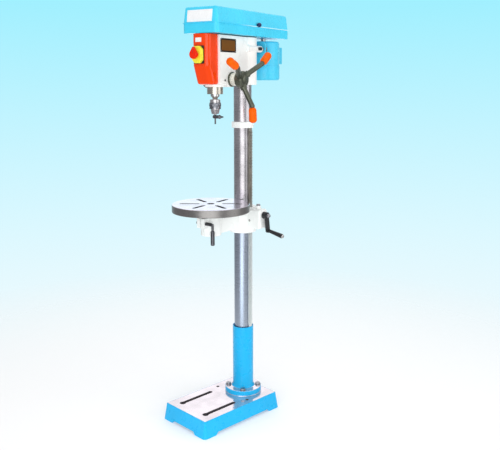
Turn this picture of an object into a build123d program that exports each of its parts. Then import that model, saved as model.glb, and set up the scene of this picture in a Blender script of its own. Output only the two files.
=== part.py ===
from build123d import *
import os
from math import acos, atan, cos, degrees, pi, radians, sin, tan

# Floor-standing pillar drill: cast base, round column, rack-lifted round table, belt-driven head.
# Lengths are in millimetres and angles in degrees.
# Every piece is drawn with the column axis on X = Y = 0, the floor on Z = 0 and the operator at -Y.
# The table and the head are then turned on the column by their swings.

# Fits
SLIDE_GAP = 0.05
PASS_GAP = 0.4
SEAT_GAP = 0.3

# Swings on the column and the shared reach from the column axis to the spindle and table axes
TABLE_SWING = 5.5
HEAD_SWING = 13.5
REACH = 193.0

# Base casting
BASE_W = 270.0
BASE_FRONT = 339.0
BASE_REAR = 90.0
BASE_H = 69.5
BASE_DRAFT = 12.0
BASE_TOP_CORNER_R = 5.0
BASE_EDGE_R = 2.5
BASE_WALL = 18.0
BASE_PLATE = 15.0
BASE_RIB = 10.0
RIB_BEHIND_SLOT = 14.0
SEAT_PAD_H = 1.0
SEAT_PAD_EDGE = 2.0
FOOT_LENGTH = 62.0
FOOT_ARCH = 11.0
SLOT_X = 73.0
SLOT_FRONT = 293.0
SLOT_REAR = 118.0
SLOT_W = 18.0
SLOT_ENTRY_R = 13.0
FLOOR_BOLT_X = 93.0
FLOOR_BOLT_FRONT = 66.0
FLOOR_BOLT_R = 7.0
FLOOR_BOSS_R = 17.0

# Column foot, column and rack
COLUMN_R = 36.5
COLUMN_WALL = 5.0
COLUMN_SUNK = 19.0
FLANGE_R = 78.0
FLANGE_T = 20.0
FLANGE_ROOT_R = 9.0
FLANGE_EDGE_R = 3.0
SLEEVE_R = 44.0
SLEEVE_H = 274.0
BOLT_REACH = 45.0
BOLT_R = 6.0
BOLT_DEPTH = 24.0
BOLT_BOSS_R = 13.0
BOLT_HEAD_ACROSS = 19.0
BOLT_HEAD_H = 8.0
RACK_W = 20.0
RACK_BACK_GAP = 0.5
RACK_BODY_T = 7.0
TONGUE_W = 14.0
TONGUE_T = 3.5
TONGUE_L = 10.0
COLLAR_R = 45.0
COLLAR_H = 24.0
COLLAR_BELOW_HEAD = 170.0
COLLAR_CHAMFER = 2.0
SET_SCREW_R = 4.0

# Teeth, shared by both racks and pinions
MODULE = 2.0
PRESSURE_ANGLE = 20.0
RACK_ADDENDUM = 0.8 * MODULE
GEAR_ADDENDUM = MODULE
DEDENDUM = 1.25 * MODULE
BACKLASH = 0.3
TOOTH_PITCH = pi * MODULE

# Table bracket, elevating gear and crank
BRACKET_R = 56.0
BRACKET_H = 107.0
BRACKET_CLEAR = 3.0
BRACKET_EDGE_R = 4.0
LIFT_TEETH = 14
LIFT_GEAR_W = 22.0
AXLE_R = 5.0
WORM_DROP = 27.0
WORM_R = 8.0
WORM_GROOVE = 2.0
WORM_PITCH = 6.0
WORM_THREADS = 4
WORM_CLEAR = 0.6
CRANK_JOURNAL_R = 9.0
CRANK_JOURNAL_L = 30.0
HOUSING_X = 112.0
HOUSING_HALF_W = 26.0
HOUSING_UNDER = 56.0
HOUSING_OVER = 23.0
HOUSING_EDGE_R = 9.0
PLUG_X = 84.0
PLUG_R = 5.0
PLUG_HEAD_R = 8.0
PLUG_HEAD_H = 7.0
PLUG_DEPTH = 12.0
PLUG_BOSS_R = 11.0
PLUG_BOSS_H = 13.0
CRANK_HUB_R = 14.0
CRANK_HUB_T = 20.0
CRANK_ARM_L = 64.0
CRANK_REST = 8.0
CRANK_ARM_W = 18.0
CRANK_ARM_T = 10.0
CRANK_PIN_R = 4.0
HANDLE_L = 68.0
HANDLE_R0 = 7.0
HANDLE_R1 = 9.5
HANDLE_EDGE_R = 2.3
HANDLE_LEAN = 12.0
HANDLE_GAP = 2.0
ARM_HALF_W = 24.0
ARM_DROP = 23.0
ARM_H = 65.0
TABLE_BOSS_R = 41.0
TABLE_BOSS_H = 93.0
CLAMP_SLIT = 3.0
CLAMP_EAR_HALF = 20.0
CLAMP_EAR_Y = 18.0
CLAMP_EAR_H = 38.0
CLAMP_DROP = 38.0
CLAMP_BOLT_R = 5.0
LEVER_HUB_R = 7.0
LEVER_HUB_L = 27.0
LEVER_NUT_T = 5.0
LEVER_ROD_R = 5.0
LEVER_GRIP_R = 8.0
LEVER_GRIP_L = 58.0
LEVER_DROP = 82.0

# Round table
TABLE_TOP = 918.0
TABLE_COLUMN_GAP = 2.5
TABLE_RIM = 30.0
TABLE_PLATE = 16.0
TABLE_RIM_WALL = 12.0
TABLE_HUB_R = 38.0
TABLE_STEM_R = 22.0
TABLE_STEM_L = 84.0
TABLE_BORE_R = 15.0
TABLE_TURN = 40.0
TABLE_SLOTS = 6
TABLE_SLOT_R0 = 44.0
TABLE_SLOT_EDGE = 30.0
TABLE_SLOT_W = 16.0
TABLE_EDGE_R = 2.0

# Head casting
HEAD_Z0 = 1378.0
HEAD_H = 186.0
HEAD_HALF_W = 46.0
HEAD_NOSE = 34.0
HEAD_WALL = 9.0
HEAD_FLOOR = 14.0
HEAD_BOSS_R = 57.0
HEAD_BOSS_WALL = 14.0
HEAD_EDGE_R = 5.0
QUILL_BOSS_R = 41.0
QUILL_RING_R = 38.0
QUILL_RING_H = 7.0
FEED_BOSS_R = 29.0
LOCK_SCREW_R = 5.0
LOCK_SCREW_PROUD = 7.0
LOCK_SCREW_LOW = 37.0
LOCK_SCREW_HIGH = 93.0
GUIDE_SCREW_UP = 17.0
SOCKET_SHARE = 0.55

# Quill, spindle and drive sleeve
QUILL_R = 30.5
QUILL_OUT = 34.0
QUILL_TOP_GAP = 10.0
QUILL_TRAVEL = 80.0
QUILL_BORE_R = 16.0
QUILL_PITCH_LINE = 28.0
SPARE_TEETH = 2
QUILL_BEARING_R = 23.5
QUILL_BEARING_H = 14.0
SPINDLE_R = 12.5
SPINDLE_NOSE_R = 17.0
SPINDLE_NOSE_H = 11.0
SPINDLE_NOSE_CHAMFER = 3.0
SPLINE_R = 9.5
SPLINE_TIP_R = 11.5
SPLINE_W = 4.0
SPLINES = 6
SPINDLE_SHORT = 10.0
SLEEVE_DRIVE_R = 17.0
SLEEVE_IN_HEAD = 52.0
SLEEVE_PROUD = 4.0
SLEEVE_BEARING_R = 31.0
SLEEVE_BEARING_H = 15.0
SLEEVE_SHOULDER_R = 24.0
SLEEVE_SHOULDER_H = 8.0

# Chuck and key
ARBOR_R0 = 12.0
ARBOR_R1 = 9.0
ARBOR_SHOWN = 7.7
CHUCK_L = 55.0
CHUCK_CHAMFER = 2.0
CHUCK_CAP_R = 20.0
CHUCK_CAP_H = 12.0
CHUCK_CORE_R = 18.0
CHUCK_NOSE_R = 14.0
CHUCK_NOSE_H = 17.0
CHUCK_BORE_R = 6.6
CHUCK_SLEEVE_R = 22.0
CHUCK_SLEEVE_H = 24.0
CHUCK_SLEEVE_CHAMFER = 1.0
CHUCK_TEETH = 24
CHUCK_TOOTH_DEPTH = 3.0
JAWS = 3
JAW_R = 3.6
JAW_LEAN = 10.0
JAW_OFFSET = 5.6
JAW_L = 28.0
JAW_PROUD = 3.0
JAW_TRAVEL = 18.0
JAW_END_GAP = 1.0
KEY_BAR_R = 3.0
KEY_BAR_OUT = 39.0
KEY_GRIPPED = 14.0
KEY_DROP = 11.5
KEY_BODY_R = 6.5
KEY_BODY_BACK = 9.0
KEY_BODY_L = 20.0
KEY_PINION_R = 8.0
KEY_PINION_TIP_R = 4.0
KEY_PINION_L = 9.0
KEY_PILOT_R = 3.0
KEY_PILOT_L = 7.0

# Feed: pinion shaft, hub, bent arms and grips
FEED_TEETH = 18
FEED_PINION_W = 22.0
FEED_JOURNAL_R = 20.5
FEED_NECK = 8.0
FEED_NECK_R = 14.0
FEED_SHAFT_R = 14.0
FEED_UP = 21.0
FEED_FLANGE_R = 27.5
FEED_FLANGE_T = 6.0
DIAL_R = 24.5
DIAL_T = 22.0
FEED_HUB_R = 31.0
FEED_HUB_T = 31.0
FEED_HUB_EDGE_R = 6.0
HUB_BOSS_R = 13.0
HUB_BOSS_L = 25.0
FEED_ARMS = 3
FEED_ARM_ANGLE = -84.0
FEED_ARM_ROOT = 14.0
FEED_ARM_KNEE = 100.0
FEED_ARM_LEAN = 42.0
FEED_ARM_R = 9.6
FEED_PIN_R = 6.0
FEED_PIN_L = 34.0
GRIP_R = 15.0
GRIP_L = 64.0
GRIP_END_R = 13.0
GRIP_MOUTH = 4.0
SPRING_CAP_R = 33.0
SPRING_CAP_T = 26.0
SPRING_CAP_WALL = 3.0
SPRING_TURNS = 3.0
SPRING_TURN_POINTS = 24
SPRING_STRIP = 1.2
SPRING_W = 14.0

# Front cover and switch
FRONT_HALF_W = 38.0
FRONT_DEPTH = 61.0
FRONT_INSET = 2.0
FRONT_SLOPE_H = 67.0
FRONT_SLOPE = 25.0
FRONT_CORNER_R = 20.0
FRONT_TOE_R = 10.0
FRONT_WALL = 2.5
FRONT_SCREW_R = 2.5
FRONT_SCREW_HEAD_R = 5.0
FRONT_SCREW_HEAD_H = 3.0
FRONT_SCREW_L = 14.0
FRONT_SCREW_INSET = 9.0
SWITCH_X = -1.0
SWITCH_DROP = 77.0
SWITCH_FLANGE_W = 42.5
SWITCH_FLANGE_H = 64.0
SWITCH_FLANGE_T = 5.0
SWITCH_PLATE_W = 41.0
SWITCH_PLATE_H = 61.0
SWITCH_PLATE_T = 14.0
SWITCH_EDGE_R = 2.0
SWITCH_CHAMFER = 11.0
SWITCH_BODY_W = 34.0
SWITCH_BODY_H = 46.0
SWITCH_BODY_D = 20.0
KNOB_R = 16.0
KNOB_TIP_R = 3.8
KNOB_EDGE_R = 3.5
KNOB_T = 12.0
KNOB_POINT = 27.0
KNOB_NECK_R = 9.0
KNOB_NECK_L = 12.0
KNOB_SHAFT_R = 4.0
KNOB_SHAFT_IN = 12.0
SPEED_PLATE_W = 103.0
SPEED_PLATE_H = 50.0
SPEED_PLATE_T = 1.2
SPEED_PLATE_BACK = 23.5
SPEED_PLATE_DROP = 40.5

# Belt cover: pan and hinged lid
COVER_HALF_W = 78.0
COVER_NOSE = 96.0
COVER_TAIL = 80.5
COVER_FRONT_R = 16.0
COVER_REAR_R = 18.0
COVER_WALL = 2.0
PAN_H = 37.0
PAN_FLOOR = 2.5
PAN_LIP = 4.0
PAN_LIP_T = 3.0
LID_H = 57.0
LID_DRAFT = 8.0
LID_EDGE_R = 8.0
LID_KNOB_R = 8.5
LID_KNOB_Y = -11.5
LID_KNOB_UP = 5.0
LID_KNOB_T = 12.0
LID_KNOB_STEM_R = 3.5
LID_KNOB_STEM_IN = 6.0
HINGE_OUT = 7.0
HINGE_R = 5.0
HINGE_PIN_R = 2.2
HINGE_KNUCKLE = 16.0
HINGE_FRONT = 150.0
HINGE_REAR = 110.0

# Pulleys and belt
PULLEY_LIFT = 12.0
PULLEY_STEPS = 4
SPINDLE_STEP_R = 58.0
STEP_FALL = 10.0
STEP_H = 15.0
STEP_LAND = 2.2
GROOVE_DEPTH = 8.0
GROOVE_RUN = 2.7
STEP_SUM = 78.0
BELT_STEP = 1
BELT_W = 5.2
BELT_T = 6.0
BELT_SUNK = 0.5

# Motor and its slide
MOTOR_R = 67.0
MOTOR_H = 97.0
MOTOR_DROP = 12.0
MOTOR_EDGE_R = 8.0
MOTOR_SHAFT_R = 9.5
MOTOR_SHAFT_TAIL = 25.0
MOTOR_SHAFT_GAP = 2.0
MOTOR_TRAVEL = 15.0
MOTOR_STOP_GAP = 3.0
MOUNT_T = 8.0
MOUNT_HALF_W = 60.0
MOUNT_H = 102.0
MOUNT_DROP = 16.0
MOTOR_PAD = 9.5
MOTOR_PAD_HALF = 30.0
FAN_R = 69.0
FAN_H = 59.0
FAN_WALL = 2.0
FAN_EDGE_R = 9.0
FAN_VENTS = 9
FAN_VENT_W = 6.0
FAN_VENT_L = 38.0
BOX_HALF_W = 30.0
BOX_H = 68.0
BOX_DROP = 20.0
BOX_OUT = 41.0
BOX_EDGE_R = 4.0
GLAND_R = 9.0
GLAND_L = 16.0
GLAND_BORE_R = 5.0
BAR_X = 48.0
BAR_R = 8.0
BAR_DROP = 46.0
BAR_BOSS_R = 13.0
BAR_FRONT = 20.0
BAR_END_WALL = 5.0
TENSION_KNOB_Y = 26.5
TENSION_KNOB_R = 7.0
TENSION_KNOB_T = 12.0
TENSION_SCREW_R = 4.0

# Places that follow from the sizes above: column
COLUMN_Y = FLOOR_BOLT_FRONT
FLANGE_Z0 = BASE_H + SEAT_PAD_H
FLANGE_TOP = FLANGE_Z0 + FLANGE_T
SLEEVE_TOP = FLANGE_TOP + SLEEVE_H
HEAD_Z1 = HEAD_Z0 + HEAD_H
COLUMN_TOP = HEAD_Z1 - COLUMN_SUNK
COLLAR_Z = HEAD_Z0 - COLLAR_BELOW_HEAD
RACK_BACK = COLUMN_R + RACK_BACK_GAP
RACK_PITCH_X = RACK_BACK + RACK_BODY_T
RACK_TIP_X = RACK_PITCH_X + RACK_ADDENDUM
TONGUE_POCKET_R = ((RACK_BACK + TONGUE_T) ** 2 + (TONGUE_W / 2) ** 2) ** 0.5 + SEAT_GAP

# Places of the table and its bracket
TABLE_R = REACH - COLUMN_R - TABLE_COLUMN_GAP
TABLE_SLOT_R1 = TABLE_R - TABLE_SLOT_EDGE
BRACKET_Z1 = TABLE_TOP - TABLE_RIM - BRACKET_CLEAR
BRACKET_Z0 = BRACKET_Z1 - BRACKET_H
TABLE_BOSS_Z0 = BRACKET_Z1 - TABLE_BOSS_H
TABLE_HUB_Z = BRACKET_Z1 + SEAT_GAP
ARM_Z1 = BRACKET_Z1 - ARM_DROP
ARM_Z0 = ARM_Z1 - ARM_H
CLAMP_Y = -REACH - TABLE_BOSS_R - CLAMP_EAR_Y / 2
CLAMP_Z = BRACKET_Z1 - CLAMP_DROP
WORM_Z = BRACKET_Z1 - WORM_DROP
HOUSING_Z0 = WORM_Z - HOUSING_UNDER
HOUSING_Z1 = WORM_Z + HOUSING_OVER
PLUG_Z = HOUSING_Z1 + PLUG_BOSS_H
LIFT_R = MODULE * LIFT_TEETH / 2
LIFT_TIP_R = LIFT_R + GEAR_ADDENDUM
GEAR_X = RACK_PITCH_X + LIFT_R
GEAR_Z = WORM_Z - LIFT_TIP_R - WORM_R - WORM_CLEAR
CRANK_X = HOUSING_X + SEAT_GAP
CRANK_FACE_X = CRANK_X + CRANK_HUB_T

# Places of the head, its drive and its feed
HEAD_FRONT = REACH + HEAD_NOSE
PULLEY_Z0 = HEAD_Z1 + PULLEY_LIFT
PULLEY_TOP = PULLEY_Z0 + PULLEY_STEPS * STEP_H
SPINDLE_STEPS = [SPINDLE_STEP_R - k * STEP_FALL for k in range(PULLEY_STEPS)]
SLEEVE_DRIVE_Z0 = HEAD_Z1 - SLEEVE_IN_HEAD
SLEEVE_DRIVE_TOP = PULLEY_TOP + SLEEVE_PROUD
SPINDLE_TOP = SLEEVE_DRIVE_TOP - SPINDLE_SHORT
QUILL_Z0 = HEAD_Z0 - QUILL_OUT
QUILL_Z1 = SLEEVE_DRIVE_Z0 - SLEEVE_SHOULDER_H - QUILL_TOP_GAP
SPINDLE_NOSE_Z = QUILL_Z0 - SEAT_GAP - SPINDLE_NOSE_H
CHUCK_TOP = SPINDLE_NOSE_Z - ARBOR_SHOWN
CHUCK_NOSE_Z = CHUCK_TOP - CHUCK_L
KEY_BAR_Z0 = CHUCK_NOSE_Z - KEY_BAR_OUT
KEY_Z = CHUCK_NOSE_Z - KEY_DROP
FEED_R = MODULE * FEED_TEETH / 2
FEED_Y = -REACH + QUILL_PITCH_LINE + FEED_R
FEED_Z = HEAD_Z0 + FEED_UP
FLANGE_X = HEAD_HALF_W + FEED_FLANGE_T
DIAL_X = FLANGE_X + SEAT_GAP
HUB_X = DIAL_X + DIAL_T + SEAT_GAP

# Places of the front cover, belt cover and motor
FRONT_Y = -HEAD_FRONT - FRONT_DEPTH
FRONT_Z0 = HEAD_Z0 + FRONT_INSET
FRONT_Z1 = HEAD_Z1 - FRONT_INSET
FRONT_SLOPE_Z = FRONT_Z0 + FRONT_SLOPE_H
SWITCH_Z = HEAD_Z1 - SWITCH_DROP
SWITCH_FACE_Y = FRONT_Y - SWITCH_FLANGE_T
PLATE_FACE_Y = SWITCH_FACE_Y - SWITCH_PLATE_T
SPEED_PLATE_Y = -REACH + SPEED_PLATE_BACK
SPEED_PLATE_Z = HEAD_Z1 - SPEED_PLATE_DROP
MOUNT_Y = HEAD_BOSS_R + MOTOR_TRAVEL + MOTOR_STOP_GAP
MOUNT_Z1 = HEAD_Z1 - MOUNT_DROP
MOUNT_Z0 = MOUNT_Z1 - MOUNT_H
MOTOR_Y = MOUNT_Y + MOUNT_T + MOTOR_PAD + MOTOR_R
MOTOR_Z1 = HEAD_Z1 - MOTOR_DROP
MOTOR_Z0 = MOTOR_Z1 - MOTOR_H
MOTOR_SHAFT_Z0 = MOTOR_Z0 - MOTOR_SHAFT_TAIL
FAN_Z0 = MOTOR_Z0 - FAN_H
BOX_Z1 = MOTOR_Z1 - BOX_DROP
BOX_Z0 = BOX_Z1 - BOX_H
BAR_Z = HEAD_Z1 - BAR_DROP
BAR_BORE_FRONT = BAR_FRONT + MOTOR_TRAVEL + MOTOR_STOP_GAP
BAR_BOSS_FRONT = BAR_BORE_FRONT + BAR_END_WALL
COVER_FRONT = REACH + COVER_NOSE
COVER_REAR = MOTOR_Y + COVER_TAIL
SEAM_Z = HEAD_Z1 + PAN_H
LID_KNOB_X = COVER_HALF_W + PAN_LIP + SEAT_GAP
LID_KNOB_Z = SEAM_Z + LID_KNOB_UP
HINGE_X = -COVER_HALF_W - HINGE_OUT
HINGE_Z = SEAM_Z
LOW = (Align.CENTER, Align.CENTER, Align.MIN)


def cyl(r, z0, z1, x=0.0, y=0.0):
    """Upright round bar between two heights."""
    return Pos(x, y, z0) * Cylinder(r, z1 - z0, align=LOW)


def cyl_x(r, x0, x1, y, z):
    """Round bar along X."""
    return Pos(x0, y, z) * Rot(0, 90, 0) * Cylinder(r, x1 - x0, align=LOW)


def cyl_y(r, y0, y1, x, z):
    """Round bar along Y."""
    return Pos(x, y0, z) * Rot(-90, 0, 0) * Cylinder(r, y1 - y0, align=LOW)


def cone_x(r0, r1, x0, x1, y, z):
    """Tapered bar along X."""
    return Pos(x0, y, z) * Rot(0, 90, 0) * Cone(r0, r1, x1 - x0, align=LOW)


def block(x0, x1, y0, y1, z0, z1):
    """Box given by its limits."""
    return Pos((x0 + x1) / 2, (y0 + y1) / 2, (z0 + z1) / 2) * Box(x1 - x0, y1 - y0, z1 - z0)


def prism(points, direction, length):
    """Solid swept straight from a closed outline of 3-D points."""
    return extrude(make_face(Polyline(*points, close=True)), length, dir=direction)


def rod(start, end, r):
    """Round bar between two points."""
    axis = Vector(*end) - Vector(*start)
    return Plane(origin=start, z_dir=axis) * Cylinder(r, axis.length, align=LOW)


def hexagon(across, z0, z1, x, y):
    """Upright hexagon bar, as a bolt head."""
    return extrude(Pos(x, y, z0) * RegularPolygon(across / 2, 6, major_radius=False), z1 - z0)


def gear_outline(teeth, first):
    """Involute gear outline as plane points, with a tooth centred on the angle first."""
    pitch_r = MODULE * teeth / 2
    base_r = pitch_r * cos(radians(PRESSURE_ANGLE))
    root_r = pitch_r - DEDENDUM
    tip_r = pitch_r + GEAR_ADDENDUM
    start_r = max(base_r, root_r)
    pressure = radians(PRESSURE_ANGLE)
    half = pi / (2 * teeth) - BACKLASH / (2 * pitch_r) + tan(pressure) - pressure
    flank = []
    steps = 5
    for i in range(steps):
        r = start_r + (tip_r - start_r) * i / (steps - 1)
        roll = acos(min(1.0, base_r / r))
        flank.append((r, half - tan(roll) + roll))
    flank.insert(0, (root_r, flank[0][1]))
    side = [(r, -a) for r, a in flank] + [(r, a) for r, a in reversed(flank)]
    points = []
    for tooth in range(teeth):
        middle = radians(first) + 2 * pi * tooth / teeth
        points += [(r * cos(middle + a), r * sin(middle + a)) for r, a in side]
    return points


def turned(shape, swing):
    """Turn a piece on the column and shift it to the part's origin between the floor bolts."""
    return Pos(0, COLUMN_Y, 0) * Rot(0, 0, swing) * shape


def save(name, shape, swing=0.0):
    """Write one sub-part."""
    export_step(turned(shape, swing), "parts/" + name + ".step")


def group(pieces):
    """Separate pieces of one kind kept together as one sub-part."""
    return Compound([solid for piece in pieces for solid in piece.solids()])


def mirrored_pair(shape):
    """A piece and its mirror image across the YZ plane."""
    return shape + mirror(shape, about=Plane.YZ)


def make_base():
    """Cast base: drafted box on four feet, ribbed underneath, with two bolt slots and a low column seat."""
    length = BASE_FRONT + BASE_REAR
    middle = (BASE_REAR - BASE_FRONT) / 2
    outline = Pos(0, middle, 0) * RectangleRounded(BASE_W, length, BASE_TOP_CORNER_R + BASE_DRAFT)
    draft = degrees(atan(BASE_DRAFT / BASE_H))
    base = extrude(outline, BASE_H, taper=draft)
    top_edges = base.faces().sort_by(Axis.Z)[-1].edges()
    base = fillet(top_edges, BASE_EDGE_R)
    x1 = BASE_W / 2 - BASE_WALL
    y0 = -BASE_FRONT + BASE_WALL
    y1 = BASE_REAR - BASE_WALL
    ceiling = BASE_H - BASE_PLATE
    base -= block(-x1, x1, y0, y1, 0, FOOT_ARCH)
    rib_y = -SLOT_REAR + RIB_BEHIND_SLOT
    for low, high in ((y0, rib_y), (rib_y + BASE_RIB, y1)):
        base -= mirrored_pair(block(BASE_RIB / 2, x1, low, high, 0, ceiling))
    arch = FOOT_ARCH
    ya = -BASE_FRONT + FOOT_LENGTH
    yb = BASE_REAR - FOOT_LENGTH
    side = [(x1, ya, 0), (x1, yb, 0), (x1, yb - arch, arch), (x1, ya + arch, arch)]
    base -= mirrored_pair(prism(side, (1, 0, 0), BASE_WALL))
    xa = BASE_W / 2 - FOOT_LENGTH
    for y in (-BASE_FRONT, y1):
        end = [(-xa, y, 0), (xa, y, 0), (xa - arch, y, arch), (arch - xa, y, arch)]
        base -= prism(end, (0, 1, 0), BASE_WALL)
    slot_length = SLOT_FRONT - SLOT_REAR
    slot_middle = -(SLOT_FRONT + SLOT_REAR) / 2
    slot_place = Pos(SLOT_X, slot_middle, ceiling) * Rot(0, 0, 90)
    slot = extrude(slot_place * SlotOverall(slot_length, SLOT_W), BASE_PLATE)
    slot += cyl(SLOT_ENTRY_R, ceiling, BASE_H, SLOT_X, -SLOT_FRONT + SLOT_ENTRY_R)
    base -= mirrored_pair(slot)
    base += mirrored_pair(cyl(FLOOR_BOSS_R, 0, ceiling, FLOOR_BOLT_X, -FLOOR_BOLT_FRONT))
    base -= mirrored_pair(cyl(FLOOR_BOLT_R, 0, BASE_H, FLOOR_BOLT_X, -FLOOR_BOLT_FRONT))
    base += cyl(FLANGE_R + SEAT_PAD_EDGE, ceiling, FLANGE_Z0) & extrude(outline, FLANGE_Z0, taper=draft)
    for x, y in bolt_places():
        base += cyl(BOLT_BOSS_R, BASE_H - BOLT_DEPTH, ceiling, x, y)
        base -= cyl(BOLT_R + SLIDE_GAP, BASE_H - BOLT_DEPTH, FLANGE_Z0, x, y)
    return base


def bolt_places():
    """The four flange bolts, on the diagonals."""
    return [(sx * BOLT_REACH, sy * BOLT_REACH) for sx in (-1, 1) for sy in (-1, 1)]


def make_column():
    """Round column tube, standing on the base inside the foot's sleeve."""
    return cyl(COLUMN_R, FLANGE_Z0, COLUMN_TOP) - cyl(COLUMN_R - COLUMN_WALL, FLANGE_Z0, COLUMN_TOP)


def make_flange():
    """Column foot: bolted flange and long sleeve, with a pocket for the rack's lower tongue."""
    foot = cyl(FLANGE_R, FLANGE_Z0, FLANGE_TOP) + cyl(SLEEVE_R, FLANGE_Z0, SLEEVE_TOP)
    root = foot.edges().filter_by(GeomType.CIRCLE).filter_by_position(Axis.Z, FLANGE_TOP, FLANGE_TOP)
    foot = fillet(root.sort_by(SortBy.RADIUS)[0], FLANGE_ROOT_R)
    rim = foot.edges().filter_by(GeomType.CIRCLE).filter_by_position(Axis.Z, FLANGE_TOP, FLANGE_TOP)
    foot = fillet(rim.sort_by(SortBy.RADIUS)[-1], FLANGE_EDGE_R)
    foot -= cyl(COLUMN_R + SLIDE_GAP, FLANGE_Z0, SLEEVE_TOP)
    foot -= cyl(TONGUE_POCKET_R, SLEEVE_TOP - TONGUE_L, SLEEVE_TOP)
    for x, y in bolt_places():
        foot -= cyl(BOLT_R + SEAT_GAP, FLANGE_Z0, FLANGE_TOP, x, y)
    return foot


def make_flange_bolts():
    """Four hexagon bolts that hold the foot on the base."""
    bolts = []
    for x, y in bolt_places():
        head = hexagon(BOLT_HEAD_ACROSS, FLANGE_TOP, FLANGE_TOP + BOLT_HEAD_H, x, y)
        bolts.append(head + cyl(BOLT_R, BASE_H - BOLT_DEPTH, FLANGE_TOP, x, y))
    return group(bolts)


def make_collar():
    """Ring clamped on the column that holds the rack's upper tongue."""
    top = COLLAR_Z + COLLAR_H
    ring = cyl(COLLAR_R, COLLAR_Z, top)
    ring = chamfer(ring.faces().sort_by(Axis.Z)[-1].edges(), COLLAR_CHAMFER)
    ring -= cyl(COLUMN_R + SLIDE_GAP, COLLAR_Z, top)
    ring -= cyl(TONGUE_POCKET_R, COLLAR_Z, COLLAR_Z + TONGUE_L)
    return ring - collar_screw_bar(SLIDE_GAP)


def collar_screw_bar(gap):
    """The collar's set screw, from its ring to the column, on the far side from the operator."""
    z = COLLAR_Z + (TONGUE_L + COLLAR_H) / 2
    return cyl_y(SET_SCREW_R + gap, COLUMN_R + SLIDE_GAP, COLLAR_R + gap, 0, z)


def make_column_rack():
    """Toothed rack that stands beside the column on its tongues and swings round with the table."""
    z0 = SLEEVE_TOP + SEAT_GAP
    z1 = COLLAR_Z - SEAT_GAP
    tan_p = tan(radians(PRESSURE_ANGLE))
    half = TOOTH_PITCH / 4 - BACKLASH / 2
    tongue_x = RACK_BACK + TONGUE_T
    root_x = RACK_PITCH_X - DEDENDUM
    count_down = int((GEAR_Z - z0) / TOOTH_PITCH - 1)
    count_up = int((z1 - GEAR_Z) / TOOTH_PITCH - 1)
    outline = [(RACK_BACK, z0), (root_x, z0)]
    for k in range(-count_down, count_up):
        z = GEAR_Z + (k + 0.5) * TOOTH_PITCH
        outline.append((root_x, z - half - DEDENDUM * tan_p))
        outline.append((RACK_TIP_X, z - half + RACK_ADDENDUM * tan_p))
        outline.append((RACK_TIP_X, z + half - RACK_ADDENDUM * tan_p))
        outline.append((root_x, z + half + DEDENDUM * tan_p))
    outline += [(root_x, z1), (RACK_BACK, z1)]
    strip = prism([(x, -RACK_W / 2, z) for x, z in outline], (0, 1, 0), RACK_W)
    tongue_low = z0 - TONGUE_L + SEAT_GAP
    tongue_high = z1 + TONGUE_L - SEAT_GAP
    return strip + block(RACK_BACK, tongue_x, -TONGUE_W / 2, TONGUE_W / 2, tongue_low, tongue_high)


def clamp_ears(y0, y1):
    """The two ears of a slit clamp, drawn as one block before the slit is cut."""
    z0 = CLAMP_Z - CLAMP_EAR_H / 2
    return block(-CLAMP_EAR_HALF, CLAMP_EAR_HALF, y0, y1, z0, z0 + CLAMP_EAR_H)


def make_bracket():
    """Bracket casting: split collar on the column, gear housing, arm and split boss for the table."""
    boss_top = BRACKET_Z1
    body = cyl(BRACKET_R, BRACKET_Z0, BRACKET_Z1)
    body = fillet(body.edges().filter_by(GeomType.CIRCLE), BRACKET_EDGE_R)
    housing = block(0, HOUSING_X, -HOUSING_HALF_W, HOUSING_HALF_W, HOUSING_Z0, HOUSING_Z1)
    outer = housing.faces().sort_by(Axis.X)[-1].edges()
    housing = fillet(outer + housing.faces().sort_by(Axis.Z)[-1].edges().filter_by(Axis.X), HOUSING_EDGE_R)
    boss = cyl(TABLE_BOSS_R, TABLE_BOSS_Z0, boss_top, 0, -REACH)
    boss = fillet(boss.faces().sort_by(Axis.Z)[0].edges(), BRACKET_EDGE_R)
    arm = block(-ARM_HALF_W, ARM_HALF_W, -REACH, 0, ARM_Z0, ARM_Z1)
    arm = fillet(arm.edges().filter_by(Axis.Y), BRACKET_EDGE_R)
    body += [housing, boss, arm]
    body += clamp_ears(-REACH - TABLE_BOSS_R - CLAMP_EAR_Y, -REACH)
    body += clamp_ears(0, BRACKET_R + CLAMP_EAR_Y)
    body += cyl(PLUG_BOSS_R, HOUSING_Z1 - HOUSING_EDGE_R, PLUG_Z, PLUG_X)
    body -= cyl(COLUMN_R + SLIDE_GAP, BRACKET_Z0, BRACKET_Z1)
    groove_y = RACK_W / 2 + PASS_GAP
    body -= block(0, RACK_TIP_X + PASS_GAP, -groove_y, groove_y, BRACKET_Z0, BRACKET_Z1)
    body -= cyl(TABLE_STEM_R + SLIDE_GAP, TABLE_BOSS_Z0, boss_top, 0, -REACH)
    slit = CLAMP_SLIT / 2
    front = -REACH - TABLE_BOSS_R - CLAMP_EAR_Y
    body -= block(-slit, slit, front, -REACH, TABLE_BOSS_Z0, boss_top)
    body -= block(-slit, slit, 0, BRACKET_R + CLAMP_EAR_Y, BRACKET_Z0, BRACKET_Z1)
    for y in (CLAMP_Y, bracket_lock_y()):
        body -= cyl_x(CLAMP_BOLT_R + SLIDE_GAP, -CLAMP_EAR_HALF, CLAMP_EAR_HALF, y, CLAMP_Z)
    cavity = LIFT_GEAR_W / 2 + PASS_GAP
    body -= cyl_y(LIFT_TIP_R + PASS_GAP, -cavity, cavity, GEAR_X, GEAR_Z)
    body -= cyl_y(AXLE_R, -HOUSING_HALF_W, HOUSING_HALF_W, GEAR_X, GEAR_Z)
    body -= cyl_x(CRANK_JOURNAL_R + SLIDE_GAP, RACK_TIP_X, HOUSING_X, 0, WORM_Z)
    body -= cyl(PLUG_R, PLUG_Z - PLUG_DEPTH, PLUG_Z, PLUG_X)
    return body


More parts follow.
